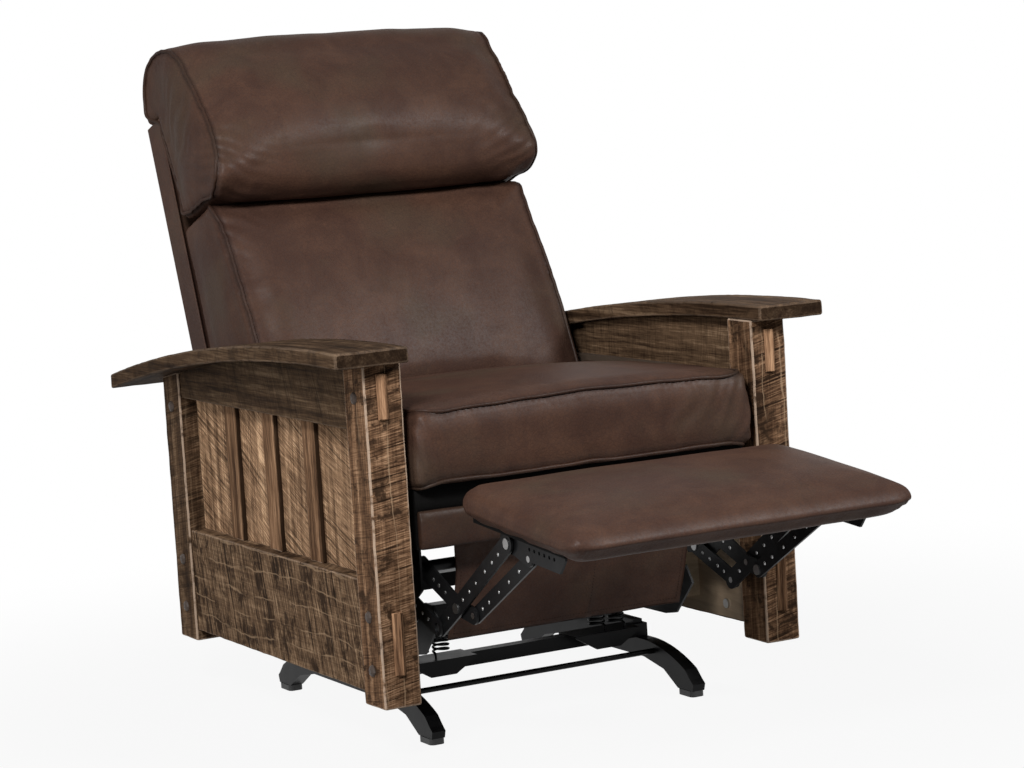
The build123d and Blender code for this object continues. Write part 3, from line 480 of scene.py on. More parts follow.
def settle(obj):
    """Applies an object's modifiers to its mesh."""
    graph = bpy.context.evaluated_depsgraph_get()
    graph.update()
    shown = obj.evaluated_get(graph)
    mesh = bpy.data.meshes.new_from_object(shown, preserve_all_data_layers=True, depsgraph=graph)
    obj.modifiers.clear()
    obj.data = mesh


def dress(obj, body, material, slot, *replaced):
    """Gives a finished piece its material, its body if one is given, and the nodes it stands for."""
    obj.data.materials.clear()
    obj.data.materials.append(finish(material))
    if body:
        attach(obj, body)
    if replaced:
        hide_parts(*replaced)
    return obj


def vectors(items, key):
    """One vector of each mesh element as rows."""
    flat = np.empty(len(items) * 3)
    items.foreach_get(key, flat)
    return flat.reshape(-1, 3)


def points_of(mesh):
    return vectors(mesh.vertices, "co")


def normals_of(mesh):
    return vectors(mesh.vertex_normals, "vector")


def put_points(mesh, points):
    mesh.vertices.foreach_set("co", np.ascontiguousarray(points, dtype=np.float64).ravel())
    mesh.update()


def smooth(mesh):
    mesh.polygons.foreach_set("use_smooth", [True] * len(mesh.polygons))


def face_out(mesh):
    """Turns all faces of a closed mesh outwards."""
    made = bmesh.new()
    made.from_mesh(mesh)
    bmesh.ops.recalc_face_normals(made, faces=made.faces)
    made.to_mesh(mesh)
    made.free()


def walled(obj, thickness):
    """Gives a sheet its thickness, half to each side."""
    modifier(obj, "SOLIDIFY", thickness=thickness, offset=0)
    settle(obj)
    smooth(obj.data)


CORD_SIDES = 8


def tube(points, radius, closed):
    """Vertices and faces of a round cord through points."""
    count = len(points)
    ways = []
    for i in range(count):
        before = points[i - 1] if closed or i else points[0]
        after = points[(i + 1) % count] if closed or i < count - 1 else points[-1]
        ways.append((after - before).normalized())
    side = ways[0].orthogonal().normalized()
    verts, faces = [], []
    for point, way in zip(points, ways):
        side = (side - way * side.dot(way)).normalized()
        other = way.cross(side)
        for k in range(CORD_SIDES):
            turn = 2 * math.pi * k / CORD_SIDES
            verts.append(point + (side * math.cos(turn) + other * math.sin(turn)) * radius)
    shift = 0
    if closed:
        start = (verts[0] - points[0]).normalized()
        end = (side - ways[0] * side.dot(ways[0])).normalized()
        turn = math.atan2(ways[0].dot(end.cross(start)), end.dot(start))
        shift = round(turn / (2 * math.pi) * CORD_SIDES)
    for i in range(count if closed else count - 1):
        row, after, turned = i * CORD_SIDES, (i + 1) * CORD_SIDES, 0
        if i == count - 1:
            after, turned = 0, shift
        for k in range(CORD_SIDES):
            near, far = (k + turned) % CORD_SIDES, (k + 1 + turned) % CORD_SIDES
            faces.append((row + k, row + (k + 1) % CORD_SIDES, after + far, after + near))
    if not closed:
        faces.append(tuple(range(CORD_SIDES))[::-1])
        faces.append(tuple((count - 1) * CORD_SIDES + k for k in range(CORD_SIDES)))
    return verts, faces


def cords(name, paths, radius):
    """One mesh object of several cords, each a list of points and whether it closes."""
    verts, faces = [], []
    for points, closed in paths:
        some, made = tube(points, radius, closed)
        faces += [tuple(v + len(verts) for v in face) for face in made]
        verts += some
    obj = listed(name, verts, faces=faces)
    face_out(obj.data)
    smooth(obj.data)
    return obj


# Wood

# Mesh steps along and round a board, and how far off it the rays start that look for its CAD solid
BOARD_STEP, ROUND_STEP, LOOK_FROM = 0.014, 0.022, 0.5
# Wear below 0 darkens: on boards' ends, and on the sides of the battens, where it is painted shade beside
# each batten together with the stain of their sides
END_WEAR, SIDE_SHADE, HALF_SIDE_SHADE = -0.6, -0.9, -0.4
WANDER_SEED = 3


def both(*stems):
    """The left and right names of each stem."""
    return [f"{stem}_{side}" for stem in stems for side in ("left", "right")]


def on_corner(corner, edge, degrees):
    """A spot of a board's rounded corner: share and offset across, share and offset deep."""
    turn = math.radians(degrees)
    share_a, off_a, share_b, off_b, _ = corner
    return share_a, off_a + edge * math.cos(turn), share_b, off_b + edge * math.sin(turn)


def ringed(width, depth, edge):
    """A rounded rectangle as rows of on_corner's four values and a flag that is 1 at corners."""
    rows = []
    corners = ((1, -edge, 0, edge, -90), (1, -edge, 1, -edge, 0),
               (0, edge, 1, -edge, 90), (0, edge, 0, edge, 180))
    for i, corner in enumerate(corners):
        rows += [on_corner(corner, edge, corner[4] + 30 * k) + (1.0,) for k in range(4)]
        last, first = (on_corner(corners[(i + k) % 4], edge, corner[4] + 90) for k in (0, 1))
        count = max(1, round((depth, width)[i % 2] / ROUND_STEP))
        for k in range(1, count):
            rows.append(tuple(a + (b - a) * (k / count) for a, b in zip(last, first)) + (0.0,))
    return rows


def between(low, high, share, offset, inset):
    """A place between two ends, drawn in to their middle by the inset when it is at an end."""
    place = low + share * (high - low) + offset
    return place + ((low + high) / 2 - place) * 2 * inset / (high - low)


def level_at(solid, x, y, start, sign):
    """The height at which a line straight up or down meets a solid."""
    return solid.ray_cast(Vector((x, y, start)), Vector((0, 0, sign)))[0].z


def skinned(made, rings):
    """Side faces between rings of vertices, and the two ends, all turned outwards."""
    sides = []
    for first, second in zip(rings, rings[1:]):
        for k in range(len(first)):
            other = (k + 1) % len(first)
            sides.append(made.faces.new((first[k], first[other], second[other], second[k])))
    ends = [made.faces.new(rings[0]), made.faces.new(rings[-1])]
    bmesh.ops.recalc_face_normals(made, faces=sides + ends)
    return sides, ends


def beam(made, low, high, run, solid, edge, worn):
    """Adds one sawn board to a bmesh: its corners, the axis it runs along and the CAD solid it follows."""
    along, across, deep = {"Y": (1, 2, 0), "Z": (2, 0, 1)}[run]
    rows = ringed(high[across] - low[across], high[deep] - low[deep], edge)
    length = high[along] - low[along]
    count = max(2, round((length - 2 * edge) / BOARD_STEP))
    stations = [(0.0, 1.0), (0.3 * edge, 0.3)]
    stations += [(edge + (length - 2 * edge) * k / count, 0.0) for k in range(count + 1)]
    stations += [(length - 0.3 * edge, 0.3), (length, 1.0)]
    rings = []
    for place, shrink in stations:
        ends = low[across], high[across]
        if run == "Y":
            spot = (low.x + high.x) / 2, low.y + min(max(place, 0.001), length - 0.001)
            ends = [level_at(solid, *spot, start, way)
                    for start, way in ((low.z - LOOK_FROM, 1), (high.z + LOOK_FROM, -1))]
        ring = []
        for share_a, off_a, share_b, off_b, _ in rows:
            spot = [0.0, 0.0, 0.0]
            spot[across] = between(*ends, share_a, off_a, shrink * edge)
            spot[deep] = between(low[deep], high[deep], share_b, off_b, shrink * edge)
            spot[along] = low[along] + place
            if run == "Z" and place > length - 2 * edge:
                x, y = (min(max(spot[k], low[k] + 0.003), high[k] - 0.003) for k in (0, 1))
                spot[2] -= high.z - level_at(solid, x, y, high.z + LOOK_FROM, -1)
            ring.append(made.verts.new(spot))
        rings.append(ring)
    sides, ends = skinned(made, rings)
    wear = made.faces.layers.float.get("wear")
    for number, face in enumerate(sides):
        i, k = divmod(number, len(rows))
        corner = rows[k][4] and rows[(k + 1) % len(rows)][4]
        face[wear] = worn if corner or i < 2 or i > len(rings) - 4 else 0.0
    for face in ends:
        face[wear] = END_WEAR
    return sides + ends


def new_wood():
    """An empty mesh with the attributes that the wood's finish reads."""
    made = bmesh.new()
    for name in ("wear", "marks"):
        made.faces.layers.float.new(name)
    for name in ("grain", "cut", "look"):
        made.verts.layers.float_vector.new(name)
    return made


def mark_wood(made, faces, run, cut_lean, marks, look, seed):
    """Writes one board's grain, saw lines and tone; marks are the saw marks of its X and other faces."""
    layers = made.verts.layers
    grain, cut, tone = (layers.float_vector.get(name) for name in ("grain", "cut", "look"))
    sawn = made.faces.layers.float.get("marks")
    for face in faces:
        face.normal_update()
        face[sawn] = marks[0] if abs(face.normal.x) > 0.7 else marks[1]
    verts = list({vert for face in faces for vert in face.verts})
    verts.sort(key=lambda vert: vert.co[:])
    middle = sum((vert.co for vert in verts), Vector()) / len(verts)
    chance = [noise.cell(middle * 53 + Vector((seed, k * 1.7, 0))) for k in range(5)]
    order = {"X": (1, 2, 0), "Y": (0, 2, 1), "Z": (0, 1, 2)}[run]
    shift = Vector(chance[:3]) * 9
    lean = math.radians(cut_lean + (chance[3] - 0.5) * 12)
    for vert in verts:
        co = vert.co
        vert[grain] = Vector([co[k] for k in order]) + shift
        level, rise = co.y - co.x, co.z
        across = rise * math.cos(lean) - level * math.sin(lean)
        vert[cut] = Vector((across, level * math.cos(lean) + rise * math.sin(lean), chance[4] * 7))
        vert[tone] = Vector((look[0] * (1 + (chance[4] - 0.5) * 0.22), look[1], look[2]))
    return verts


def fray(verts, ragged):
    """Sawn surfaces wander a little."""
    for vert in verts:
        vert.co += noise.noise_vector(vert.co * 70) * ragged + noise.noise_vector(vert.co * 14) * ragged


# Each row: node names, way of the grain, lean of the saw lines in degrees, saw marks on X and other faces,
# (tone, blotches, warmth), edge radius, edge wear
BOARDS = (
    (both("front_post"), "Z", 3, (0.40, 0.95), (1.0, 0.95, 0.40), 0.0030, 1.0),
    (both("rear_post"), "Z", -8, (0.45, 0.75), (0.78, 0.60, 0.15), 0.0030, 0.9),
    # The left top rail's tone is raised above the right one's as painted light, where it lies in the shade
    # under the arm
    (["top_rail_right"], "Y", 88, (0.35, 0.30), (0.47, 0.45, 0.0), 0.0018, 0.20),
    (["top_rail_left"], "Y", 88, (0.35, 0.30), (0.85, 0.35, 0.0), 0.0018, 0.20),
    (both("bottom_rail"), "Y", 87, (1.0, 0.5), (0.92, 0.95, 0.0), 0.0022, 0.30),
    (both("slat_boards"), "Z", 31, (0.72, 0.3), (2.05, 0.36, 0.05), 0.0015, 0.30),
    (both("arm_board"), "Y", 82, (0.15, 0.15), (0.47, 0.50, 0.12), 0.0034, 0.12),
    (["battens"], "Z", 80, (0.2, 0.1), (1.60, 0.15, 0.35), 0.0022, 0.7),
)


class RECLINER_OT_wood_sides(bpy.types.Operator):
    """Posts, rails, slat boards, battens and arms of both sides"""

    bl_idname = "recliner.wood_sides"
    bl_label = "Wood sides"

    def execute(self, context):
        noise.seed_set(WANDER_SEED)
        for names, *row in BOARDS:
            for name in names:
                obj = self.boards(name, *row)
                if name == "battens":
                    self.shade_sides(obj)
                dress(obj, "chair_frame", "rough_wood", "rough_wood", name)
        return {"FINISHED"}

    def boards(self, node, run, lean, marks, look, edge, worn):
        made, wood = merged(node), new_wood()
        solid = BVHTree.FromBMesh(made)
        for number, group in enumerate(islands(made)):
            low, high = corners_of(group)
            if min(high - low) < 3 * edge:
                continue
            faces = beam(wood, low, high, run, solid, edge, worn)
            fray(mark_wood(wood, faces, run, lean, marks, look, number), looks("wood").ragged)
        made.free()
        return to_object(node + "_wood", wood)

    def shade_sides(self, obj):
        """The battens' thin sides are almost black: painted shade beside each batten, together with the stain
        of their sides.
        """
        wear = obj.data.attributes["wear"]
        for face in obj.data.polygons:
            if abs(face.normal.y) > 0.9:
                wear.data[face.index].value = SIDE_SHADE
            elif face.normal.y < -0.2:
                wear.data[face.index].value = HALF_SIDE_SHADE


# A peg's facets: distance behind its outer end and share of its radius
PEG_STEPS = ((0.0042, 1.0), (0.0019, 0.84), (0.0, 0.40))
PEG_SIDES = 8
# Where a tenon's ridge stands across its face, and how far its ends are rounded off
RIDGE_SHARE, TENON_EDGE = 0.62, 0.0015


class RECLINER_OT_pegs(bpy.types.Operator):
    """Faceted pegs and ridged tenon ends"""

    bl_idname = "recliner.pegs"
    bl_label = "Pegs and tenon ends"

    def execute(self, context):
        for node, rings_of, run, look, material in (
            ("pegs", self.peg, "X", (0.8, 0.2, 0.3), "peg_wood"),
            ("tenons", self.tenon, "Z", (1.60, 0.05, 0.42), "rough_wood"),
        ):
            made, wood = merged(node), new_wood()
            for number, group in enumerate(islands(made)):
                places = rings_of(*corners_of(group), number)
                sides, ends = skinned(wood, [[wood.verts.new(spot) for spot in ring] for ring in places])
                mark_wood(wood, sides + ends, run, 80, (0.1, 0.1), look, number)
            made.free()
            dress(to_object(node + "_wood", wood), "chair_frame", material, "rough_wood", node)
        return {"FINISHED"}

    def peg(self, low, high, number):
        """Rings of a round shank with eight facets rising to a small flat."""
        middle, radius = (low + high) / 2, (high.z - low.z) / 2
        sign = 1 if middle.x > 0 else -1
        inner, outer = (low.x, high.x) if sign > 0 else (high.x, low.x)
        for x, share in ((inner, 1.0), *((outer - sign * back, share) for back, share in PEG_STEPS)):
            ring = []
            for k in range(PEG_SIDES):
                turn = 2 * math.pi * k / PEG_SIDES + number
                reach = radius * share * (1 + 0.05 * math.sin(3 * turn + number * 2))
                ring.append((x, middle.y + reach * math.cos(turn), middle.z + reach * math.sin(turn)))
            yield ring

    def tenon(self, low, high, number):
        """Rings of a tenon end with a ridge down its face."""
        ridge = low.x + (high.x - low.x) * RIDGE_SHARE
        shape = ((low.x, high.y), (low.x, low.y + 0.0060), (low.x + 0.0010, low.y + 0.0045), (ridge, low.y),
                 (high.x - 0.001, low.y + 0.0062), (high.x, low.y + 0.0075), (high.x, high.y))
        for z, shrink in ((low.z, TENON_EDGE), (low.z + TENON_EDGE, 0.0), (high.z - TENON_EDGE, 0.0),
                          (high.z, TENON_EDGE)):
            yield [(x, y + (shrink if y < high.y else 0.0), z) for x, y in shape]


class RECLINER_OT_inner_panels(bpy.types.Operator):
    """Raw plywood panels, mounting blocks and hidden frames"""

    bl_idname = "recliner.inner_panels"
    bl_label = "Inner panels and frames"

    def execute(self, context):
        paint("half_stained", *both("inner_panel"))
        paint("frame_wood", "mounting_blocks")
        paint("black_cloth", "seat_box", "footrest_board")
        # The back frame shows in the gaps beside the cushions: its darker leather is painted shade there
        paint("welt_leather", "back_frame")
        return {"FINISHED"}


def paint(material, *names):
    """Gives CAD nodes whose shape is right a better material."""
    for name in names:
        obj = nodes[name]
        if not obj.material_slots:
            obj.data.materials.append(finish(material))
        for slot in obj.material_slots:
            slot.material = finish(material)


# Steel


class RECLINER_OT_steel(bpy.types.Operator):
    """Painted and plated steel of the base and the mechanism"""

    bl_idname = "recliner.steel"
    bl_label = "Steel parts"

    def execute(self, context):
        sides = both("base_rail", "rocker_cam", "seat_rail", "upper_link", "lower_link", "long_link",
                     "short_link")
        paint("black_steel", "base_tubes", "spring_shelves", "frame_tubes", "side_plates", "drive_tube",
              "front_swing_links", "rear_swing_links", "footrest_brackets", "back_brackets", *sides)
        paint("rivet_steel", "upper_link_rivets", "long_link_rivets", "footrest_rivets", "seat_pins")
        paint("bright_steel", "frame_bolts")
        paint("spring_steel", "seat_springs", "back_springs")
        paint("black_plastic", "foot_pads")
        coils = to_object("rocking_spring_coils", merged("rocking_springs"))
        dress(coils, None, "black_steel", "black_steel", "rocking_springs")
        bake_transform(coils)
        return {"FINISHED"}


def group_tree(name, wanted):
    """A geometry node group with named inputs: its tree, the inputs' sockets and their identifiers."""
    group = bpy.data.node_groups.new(name, "GeometryNodeTree")
    face = group.interface
    face.new_socket("Geometry", in_out="INPUT", socket_type="NodeSocketGeometry")
    found = {}
    for label, value in wanted.items():
        kind = "NodeSocketInt" if isinstance(value, int) else "NodeSocketFloat"
        made = face.new_socket(label, in_out="INPUT", socket_type=kind)
        made.default_value = value
        found[label] = made.identifier
    face.new_socket("Geometry", in_out="OUTPUT", socket_type="NodeSocketGeometry")
    tree = Tree(group)
    outputs = tree.node("NodeGroupInput").socket.node.outputs
    return tree, {output.name: Sock(tree, output) for output in outputs}, found


def scattered(tree, points, shape, sizes, way, axis, spread, seed):
    """Stands a shape on every point, with one axis along a way, its size varied within a spread."""
    size = tree.node("ShaderNodeCombineXYZ", None, dict(enumerate(sizes)))
    turn = tree.node("FunctionNodeAlignRotationToVector", {"axis": axis}, {"Vector": way})
    chance = tree.node("FunctionNodeRandomValue", {"data_type": "FLOAT"},
                       {2: spread[0], 3: spread[1], "Seed": seed}, 1)
    placed = tree.node("GeometryNodeInstanceOnPoints", None, {
        "Points": points, "Instance": shape, "Rotation": turn, "Scale": tree.sized(size, chance)})
    return tree.node("GeometryNodeRealizeInstances", None, {0: placed})


def colored(tree, shape, material):
    """Ends a geometry group with one material."""
    done = tree.node("GeometryNodeSetMaterial", None, {0: shape, "Material": material})
    tree.node("NodeGroupOutput", None, {0: done})


def rivet_group(material):
    """Points become low domes that look along their own way."""
    tree, given, found = group_tree("small_rivets", {"Radius": 0.003, "Height": 0.0012, "Seed": 1})
    dome = tree.node("GeometryNodeMeshUVSphere", None, {"Segments": 10, "Rings": 6, "Radius": 1.0})
    way = tree.node("GeometryNodeInputNamedAttribute", {"data_type": "FLOAT_VECTOR"}, {"Name": "way"})
    sizes = given["Radius"], given["Radius"], given["Height"]
    domes = scattered(tree, given["Geometry"], dome, sizes, way, "Z", (0.9, 1.1), given["Seed"])
    colored(tree, tree.node("GeometryNodeSetShadeSmooth", None, {0: domes}), material)
    return tree.owner, found


STITCHES = {"Pitch": 0.0052, "Length": 0.0017, "Thickness": 0.0006, "Seed": 5}


def stitch_group(material):
    """A line of points becomes a row of short stitches."""
    tree, given, found = group_tree("stitches", STITCHES)
    line = tree.node("GeometryNodeMeshToCurve", None, {0: given["Geometry"]})
    even = tree.node("GeometryNodeResampleCurve", {"mode": "LENGTH"},
                     {"Curve": line, "Length": given["Pitch"]})
    ball = tree.node("GeometryNodeMeshIcoSphere", None, {"Radius": 1.0, "Subdivisions": 1})
    way = tree.node("GeometryNodeInputTangent")
    sizes = given["Length"], given["Thickness"], given["Thickness"]
    colored(tree, scattered(tree, even, ball, sizes, way, "X", (0.85, 1.1), given["Seed"]), material)
    return tree.owner, found


def grow(obj, group, found, values):
    """Runs a geometry node group on an object and keeps the plain mesh."""
    pattern = modifier(obj, "NODES", node_group=group)
    for label, value in values.items():
        pattern[found[label]] = value
    obj.update_tag()
    bpy.context.view_layer.update()
    settle(obj)


# Places of the footrest linkage's joints at rest, as Y and Z
UPPER, LOWER = (-0.189, 0.295), (-0.1315, 0.251)
LOW, CROSS, SHORT = (-0.2495, 0.2075), (-0.3085, 0.2455), (-0.352, 0.239)
REAR_HOLE, FRONT_HOLE = (-0.489, 0.368), (-0.543, 0.3505)
# Each row: stem of the link's names, run of the link, shares of that run with a rivet
RIVETED = (
    ("upper_link", (UPPER, CROSS), (0.30, 0.45, 0.62)),
    ("long_link", (CROSS, REAR_HOLE), (0.14, 0.27, 0.40, 0.58, 0.72, 0.84)),
    ("long_link", (LOW, CROSS), (0.5,)),
    ("short_link", (SHORT, FRONT_HOLE), (0.12, 0.24, 0.42, 0.6, 0.78)),
    ("lower_link", (LOWER, LOW), (0.22, 0.4, 0.6, 0.76)),
)
# Height of a small rivet as a share of its radius
RIVET_HEIGHT = 0.32


class RECLINER_OT_link_rivets(bpy.types.Operator):
    """Small rivets along the links"""

    bl_idname = "recliner.link_rivets"
    bl_label = "Link rivets"

    def execute(self, context):
        look = looks("steel")
        group, found = rivet_group(finish("rivet_steel"))
        spots = {}
        for stem, (start, end), shares in RIVETED:
            low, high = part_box(stem + "_left")
            for share in shares:
                y, z = (a + (b - a) * share for a, b in zip(start, end))
                for x, way in ((low.x, -1), (-low.x, 1), (high.x, 1), (-high.x, -1)):
                    spots.setdefault(stem + "s", []).append(((x, y, z), way))
        for body, some in spots.items():
            obj = listed(body + "_small_rivets", [spot for spot, _ in some])
            ways = obj.data.attributes.new("way", "FLOAT_VECTOR", "POINT")
            ways.data.foreach_set("vector", [part for _, way in some for part in (way, 0, 0)])
            grow(obj, group, found,
                 {"Radius": look.rivet, "Height": look.rivet * RIVET_HEIGHT, "Seed": look.seed})
            dress(obj, body, "rivet_steel", "black_steel")
        return {"FINISHED"}


# Leather

CLOTH_FRAMES = 20
CLOTH = {"quality": 4, "mass": 0.25, "tension_stiffness": 14, "compression_stiffness": 14,
         "shear_stiffness": 5, "bending_stiffness": 0.6, "use_pressure": True}
# How far off the surface a welt's path is found, and then laid when the surface has moved
WELT_LIFT, WELT_SEAT = 0.0006, 0.0008
# The surface beside a welt: its rise and how far off that ends, the sink's depth, place and width, and how
# far off the painted shade beside the seam ends
SEAM_RISE, SEAM_REACH = 0.0045, 0.026
SINK_DEPTH, SINK_AT, SINK_WIDE, SEAM_SHADE_REACH = 0.0014, 0.0055, 0.0035, 0.0085
# Where the puckers end, their pitch along the welt, and how far off it they reach their full depth
PUCKER_REACH, PUCKER_PITCH, PUCKER_START = 0.05, 0.017, 0.004


def soft_copy(node, voxel, rounds):
    """A CAD soft solid as an even mesh with softened corners."""
    obj = to_object(node + "_leather", merged(node))
    modifier(obj, "REMESH", mode="VOXEL", voxel_size=voxel)
    modifier(obj, "SMOOTH", factor=0.5, iterations=rounds)
    settle(obj)
    return obj


def relaxed(mesh, values, rounds):
    """Values of the vertices, averaged with their neighbours."""
    pairs = np.empty(len(mesh.edges) * 2, dtype=np.int32)
    mesh.edges.foreach_get("vertices", pairs)
    first, second = pairs.reshape(-1, 2).T
    count = np.bincount(pairs, minlength=len(values)).astype(float)[:, None]
    for _ in range(rounds):
        total = np.zeros_like(values)
        np.add.at(total, first, values[second])
        np.add.at(total, second, values[first])
        values = 0.4 * values + 0.6 * total / count
    return values


def swell(pads, pressure):
    """Cloth pressure on all the pads together, each move held within its own caps and evened out."""
    scene = bpy.context.scene
    for obj, *_ in pads:
        cloth = modifier(obj, "CLOTH")
        for key, value in CLOTH.items():
            setattr(cloth.settings, key, value)
        cloth.settings.uniform_pressure_force = pressure
        cloth.settings.effector_weights.gravity = 0
        cloth.point_cache.frame_start, cloth.point_cache.frame_end = 1, CLOTH_FRAMES
    for step in range(1, CLOTH_FRAMES + 1):
        scene.frame_set(step)
    graph = bpy.context.evaluated_depsgraph_get()
    for obj, low, high, rounds in pads:
        start = points_of(obj.data)
        grown = bpy.data.meshes.new_from_object(obj.evaluated_get(graph), depsgraph=graph)
        move = points_of(grown) - start
        low, high = np.array(low), np.array(high)
        move = np.where(move > 0, high * np.tanh(move / high), -low * np.tanh(-move / low))
        obj.modifiers.clear()
        put_points(obj.data, start + relaxed(obj.data, move, rounds))
        bpy.data.meshes.remove(grown)
    scene.frame_set(1)


def caster(obj):
    """A search tree of an object's faces."""
    mesh = obj.data
    faces = [tuple(face.vertices) for face in mesh.polygons]
    return BVHTree.FromPolygons([tuple(point) for point in points_of(mesh)], faces)


def evened(points, closed, rounds):
    """A path's points, each averaged with its neighbours."""
    for _ in range(rounds):
        count = len(points)
        rows = []
        for i, point in enumerate(points):
            if not closed and i in (0, count - 1):
                rows.append(point)
            else:
                rows.append((points[i - 1] + point * 2 + points[(i + 1) % count]) / 4)
        points = rows
    return points


def welt_path(tree, rays, closed, rounds):
    """The evened path where rays from inside meet the surface, and whether it closes."""
    points = []
    for start, way in rays:
        way = Vector(way).normalized()
        place, *_ = tree.ray_cast(Vector(start), way)
        if place is not None:
            points.append(place + way * WELT_LIFT)
    return evened(points, closed, rounds), closed


def seam_in(obj, paths, pucker):
    """Draws the surface out to its welts, sinks it beside them and puckers it further off."""
    mesh = obj.data
    lengths, points = [], []
    for path, _ in paths:
        run = 0.0
        for i, point in enumerate(path):
            if i:
                run += (point - path[i - 1]).length
            lengths.append(run)
            points.append(point)
    search = KDTree(len(points))
    for i, point in enumerate(points):
        search.insert(point, i)
    search.balance()
    places, normals = points_of(mesh), normals_of(mesh)
    seam = np.zeros(len(places))
    for i, place in enumerate(places):
        _, index, far = search.find(Vector(place))
        if far > PUCKER_REACH:
            continue
        run = lengths[index] / PUCKER_PITCH
        wave = noise.noise(Vector((run, 3.1, 0))) + 0.6 * noise.noise(Vector((run * 2.3, 7.7, far * 20)))
        move = wave * pucker * (1 - far / PUCKER_REACH) ** 1.6 * min(1.0, far / PUCKER_START)
        if far < SEAM_REACH:
            move += SEAM_RISE * (1 - far / SEAM_REACH) ** 2
            move -= SINK_DEPTH * math.exp(-((far - SINK_AT) / SINK_WIDE) ** 2)
        # This value is painted shade beside the welt, darkest on it
        seam[i] = max(0.0, 1 - far / SEAM_SHADE_REACH)
        places[i] += normals[i] * move
    put_points(mesh, places)
    layer = mesh.attributes.new("seam", "FLOAT", "POINT")
    layer.data.foreach_set("value", seam)


def snapped(obj, paths):
    """Paths laid back on the surface after it has moved."""
    tree = caster(obj)
    laid = []
    for path, closed in paths:
        points = []
        for point in path:
            place, normal, *_ = tree.find_nearest(point)
            points.append(place + normal * WELT_SEAT)
        laid.append((evened(points, closed, 2), closed))
    return laid


def wrinkled(obj, spots):
    """Soft creases: each spot is a centre, a way across the creases, a reach, a pitch and a depth."""
    mesh = obj.data
    places, normals = points_of(mesh), normals_of(mesh)
    for centre, across, reach, pitch, depth in spots:
        across = np.array(Vector(across).normalized())
        offset = places - np.array(centre)
        far = np.linalg.norm(offset, axis=1)
        for i in np.where(far < reach)[0]:
            run = float(offset[i] @ across)
            bend = noise.noise(Vector(places[i]) * 18) * 3.75
            wave = math.sin(2 * math.pi * run / pitch + bend)
            places[i] += normals[i] * (wave * depth * (1 - far[i] / reach) ** 1.3)
    put_points(mesh, places)


def undulated(obj, scale, depth):
    """Wide soft unevenness of stuffed leather."""
    places = points_of(obj.data)
    move = np.array([noise.noise(Vector(place) * scale) * depth for place in places])
    put_points(obj.data, places + normals_of(obj.data) * move[:, None])


def finer(obj):
    """One level of subdivision, applied."""
    modifier(obj, "SUBSURF", levels=1, render_levels=1)
    settle(obj)
    smooth(obj.data)


def loop_plan(half, front, rear, corner):
    """Points and outward ways of a rounded rectangle in plan."""
    rows = []
    corners = ((half - corner, front + corner, -90), (half - corner, rear - corner, 0),
               (-half + corner, rear - corner, 90), (-half + corner, front + corner, 180))
    for i, (x, y, start) in enumerate(corners):
        for k in range(9):
            turn = math.radians(start + 90 * k / 8)
            way = math.cos(turn), math.sin(turn)
            rows.append((x + corner * way[0], y + corner * way[1], *way))
        next_x, next_y, _ = corners[(i + 1) % 4]
        wide, deep = next_x - x, next_y - y
        steps = int(math.hypot(wide, deep) / 0.012)
        from_x, from_y, *_ = rows[-1]
        rows += [(from_x + wide * k / steps, from_y + deep * k / steps, *way) for k in range(1, steps)]
    return rows


def cushion_welts(obj, inset=0.030, corner=0.014):
    """Welts round the top and bottom edges of a boxed cushion."""
    tree, places = caster(obj), points_of(obj.data)
    low, high = Vector(places.min(axis=0)), Vector(places.max(axis=0))
    middle = (low.z + high.z) / 2
    paths = []
    for sign in (1, -1):
        rays = []
        for x, y, *way in loop_plan((high.x - low.x) / 2 - inset, low.y + inset, high.y - inset, corner):
            edge, *_ = tree.ray_cast(Vector((x, y, middle)), Vector((0, 0, sign)))
            rays.append(((x, y, edge.z - sign * inset), (*way, sign * 1.15)))
        paths.append(welt_path(tree, rays, True, 4))
    return paths


def in_back(x, ahead, up):
    """A point given by its distances ahead of and up the back's plane."""
    return BACK_FOOT + AHEAD * ahead + UP_BACK * up + Vector((x, 0, 0))


def back_local(places):
    """Distances ahead of and up the back's plane."""
    offset = places - np.array(BACK_FOOT)
    return offset @ np.array(AHEAD), offset @ np.array(UP_BACK)


def roll_welts(obj, inset=0.035, steps=220):
    """Welts round both ends of the head roll."""
    tree, places = caster(obj), points_of(obj.data)
    near = np.abs(places[:, 0]) < 0.02
    ahead, up = ((some[near].min() + some[near].max()) / 2 for some in back_local(places))
    half = places[:, 0].max()
    paths = []
    for sign in (-1, 1):
        rays = []
        for k in range(steps):
            turn = 2 * math.pi * k / steps
            way = AHEAD * math.cos(turn) + UP_BACK * math.sin(turn)
            reach, *_ = tree.ray_cast(in_back(sign * (half - 0.05), ahead + 0.012, up), way)
            inner = reach - way * inset
            rays.append(((sign * (half - inset), inner.y, inner.z), way + Vector((sign, 0, 0)) * 1.1))
        paths.append(welt_path(tree, rays, True, 4))
    return paths


def lumbar_welts(obj, steps=90):
    """Welts down the front side edges of the lumbar cushion."""
    tree = caster(obj)
    half = points_of(obj.data)[:, 0].max()
    paths = []
    for sign in (-1, 1):
        rays = []
        for k in range(steps):
            up = -0.005 + 0.426 * k / (steps - 1)
            reach, *_ = tree.ray_cast(in_back(sign * (half - 0.04), 0.10, up), AHEAD)
            if reach is not None:
                rays.append((reach - AHEAD * 0.03, AHEAD + Vector((sign, 0, 0)) * 1.25))
        paths.append(welt_path(tree, rays, False, 3))
    return paths


def eased(value, low, high):
    """Rises smoothly from 0 at low to 1 at high."""
    share = np.clip((value - low) / (high - low), 0, 1)
    return share * share * (3 - 2 * share)


def falling(distance, reach):
    """Falls evenly from 1 at no distance to 0 at the reach."""
    return 1 - np.clip(distance / reach, 0, 1)


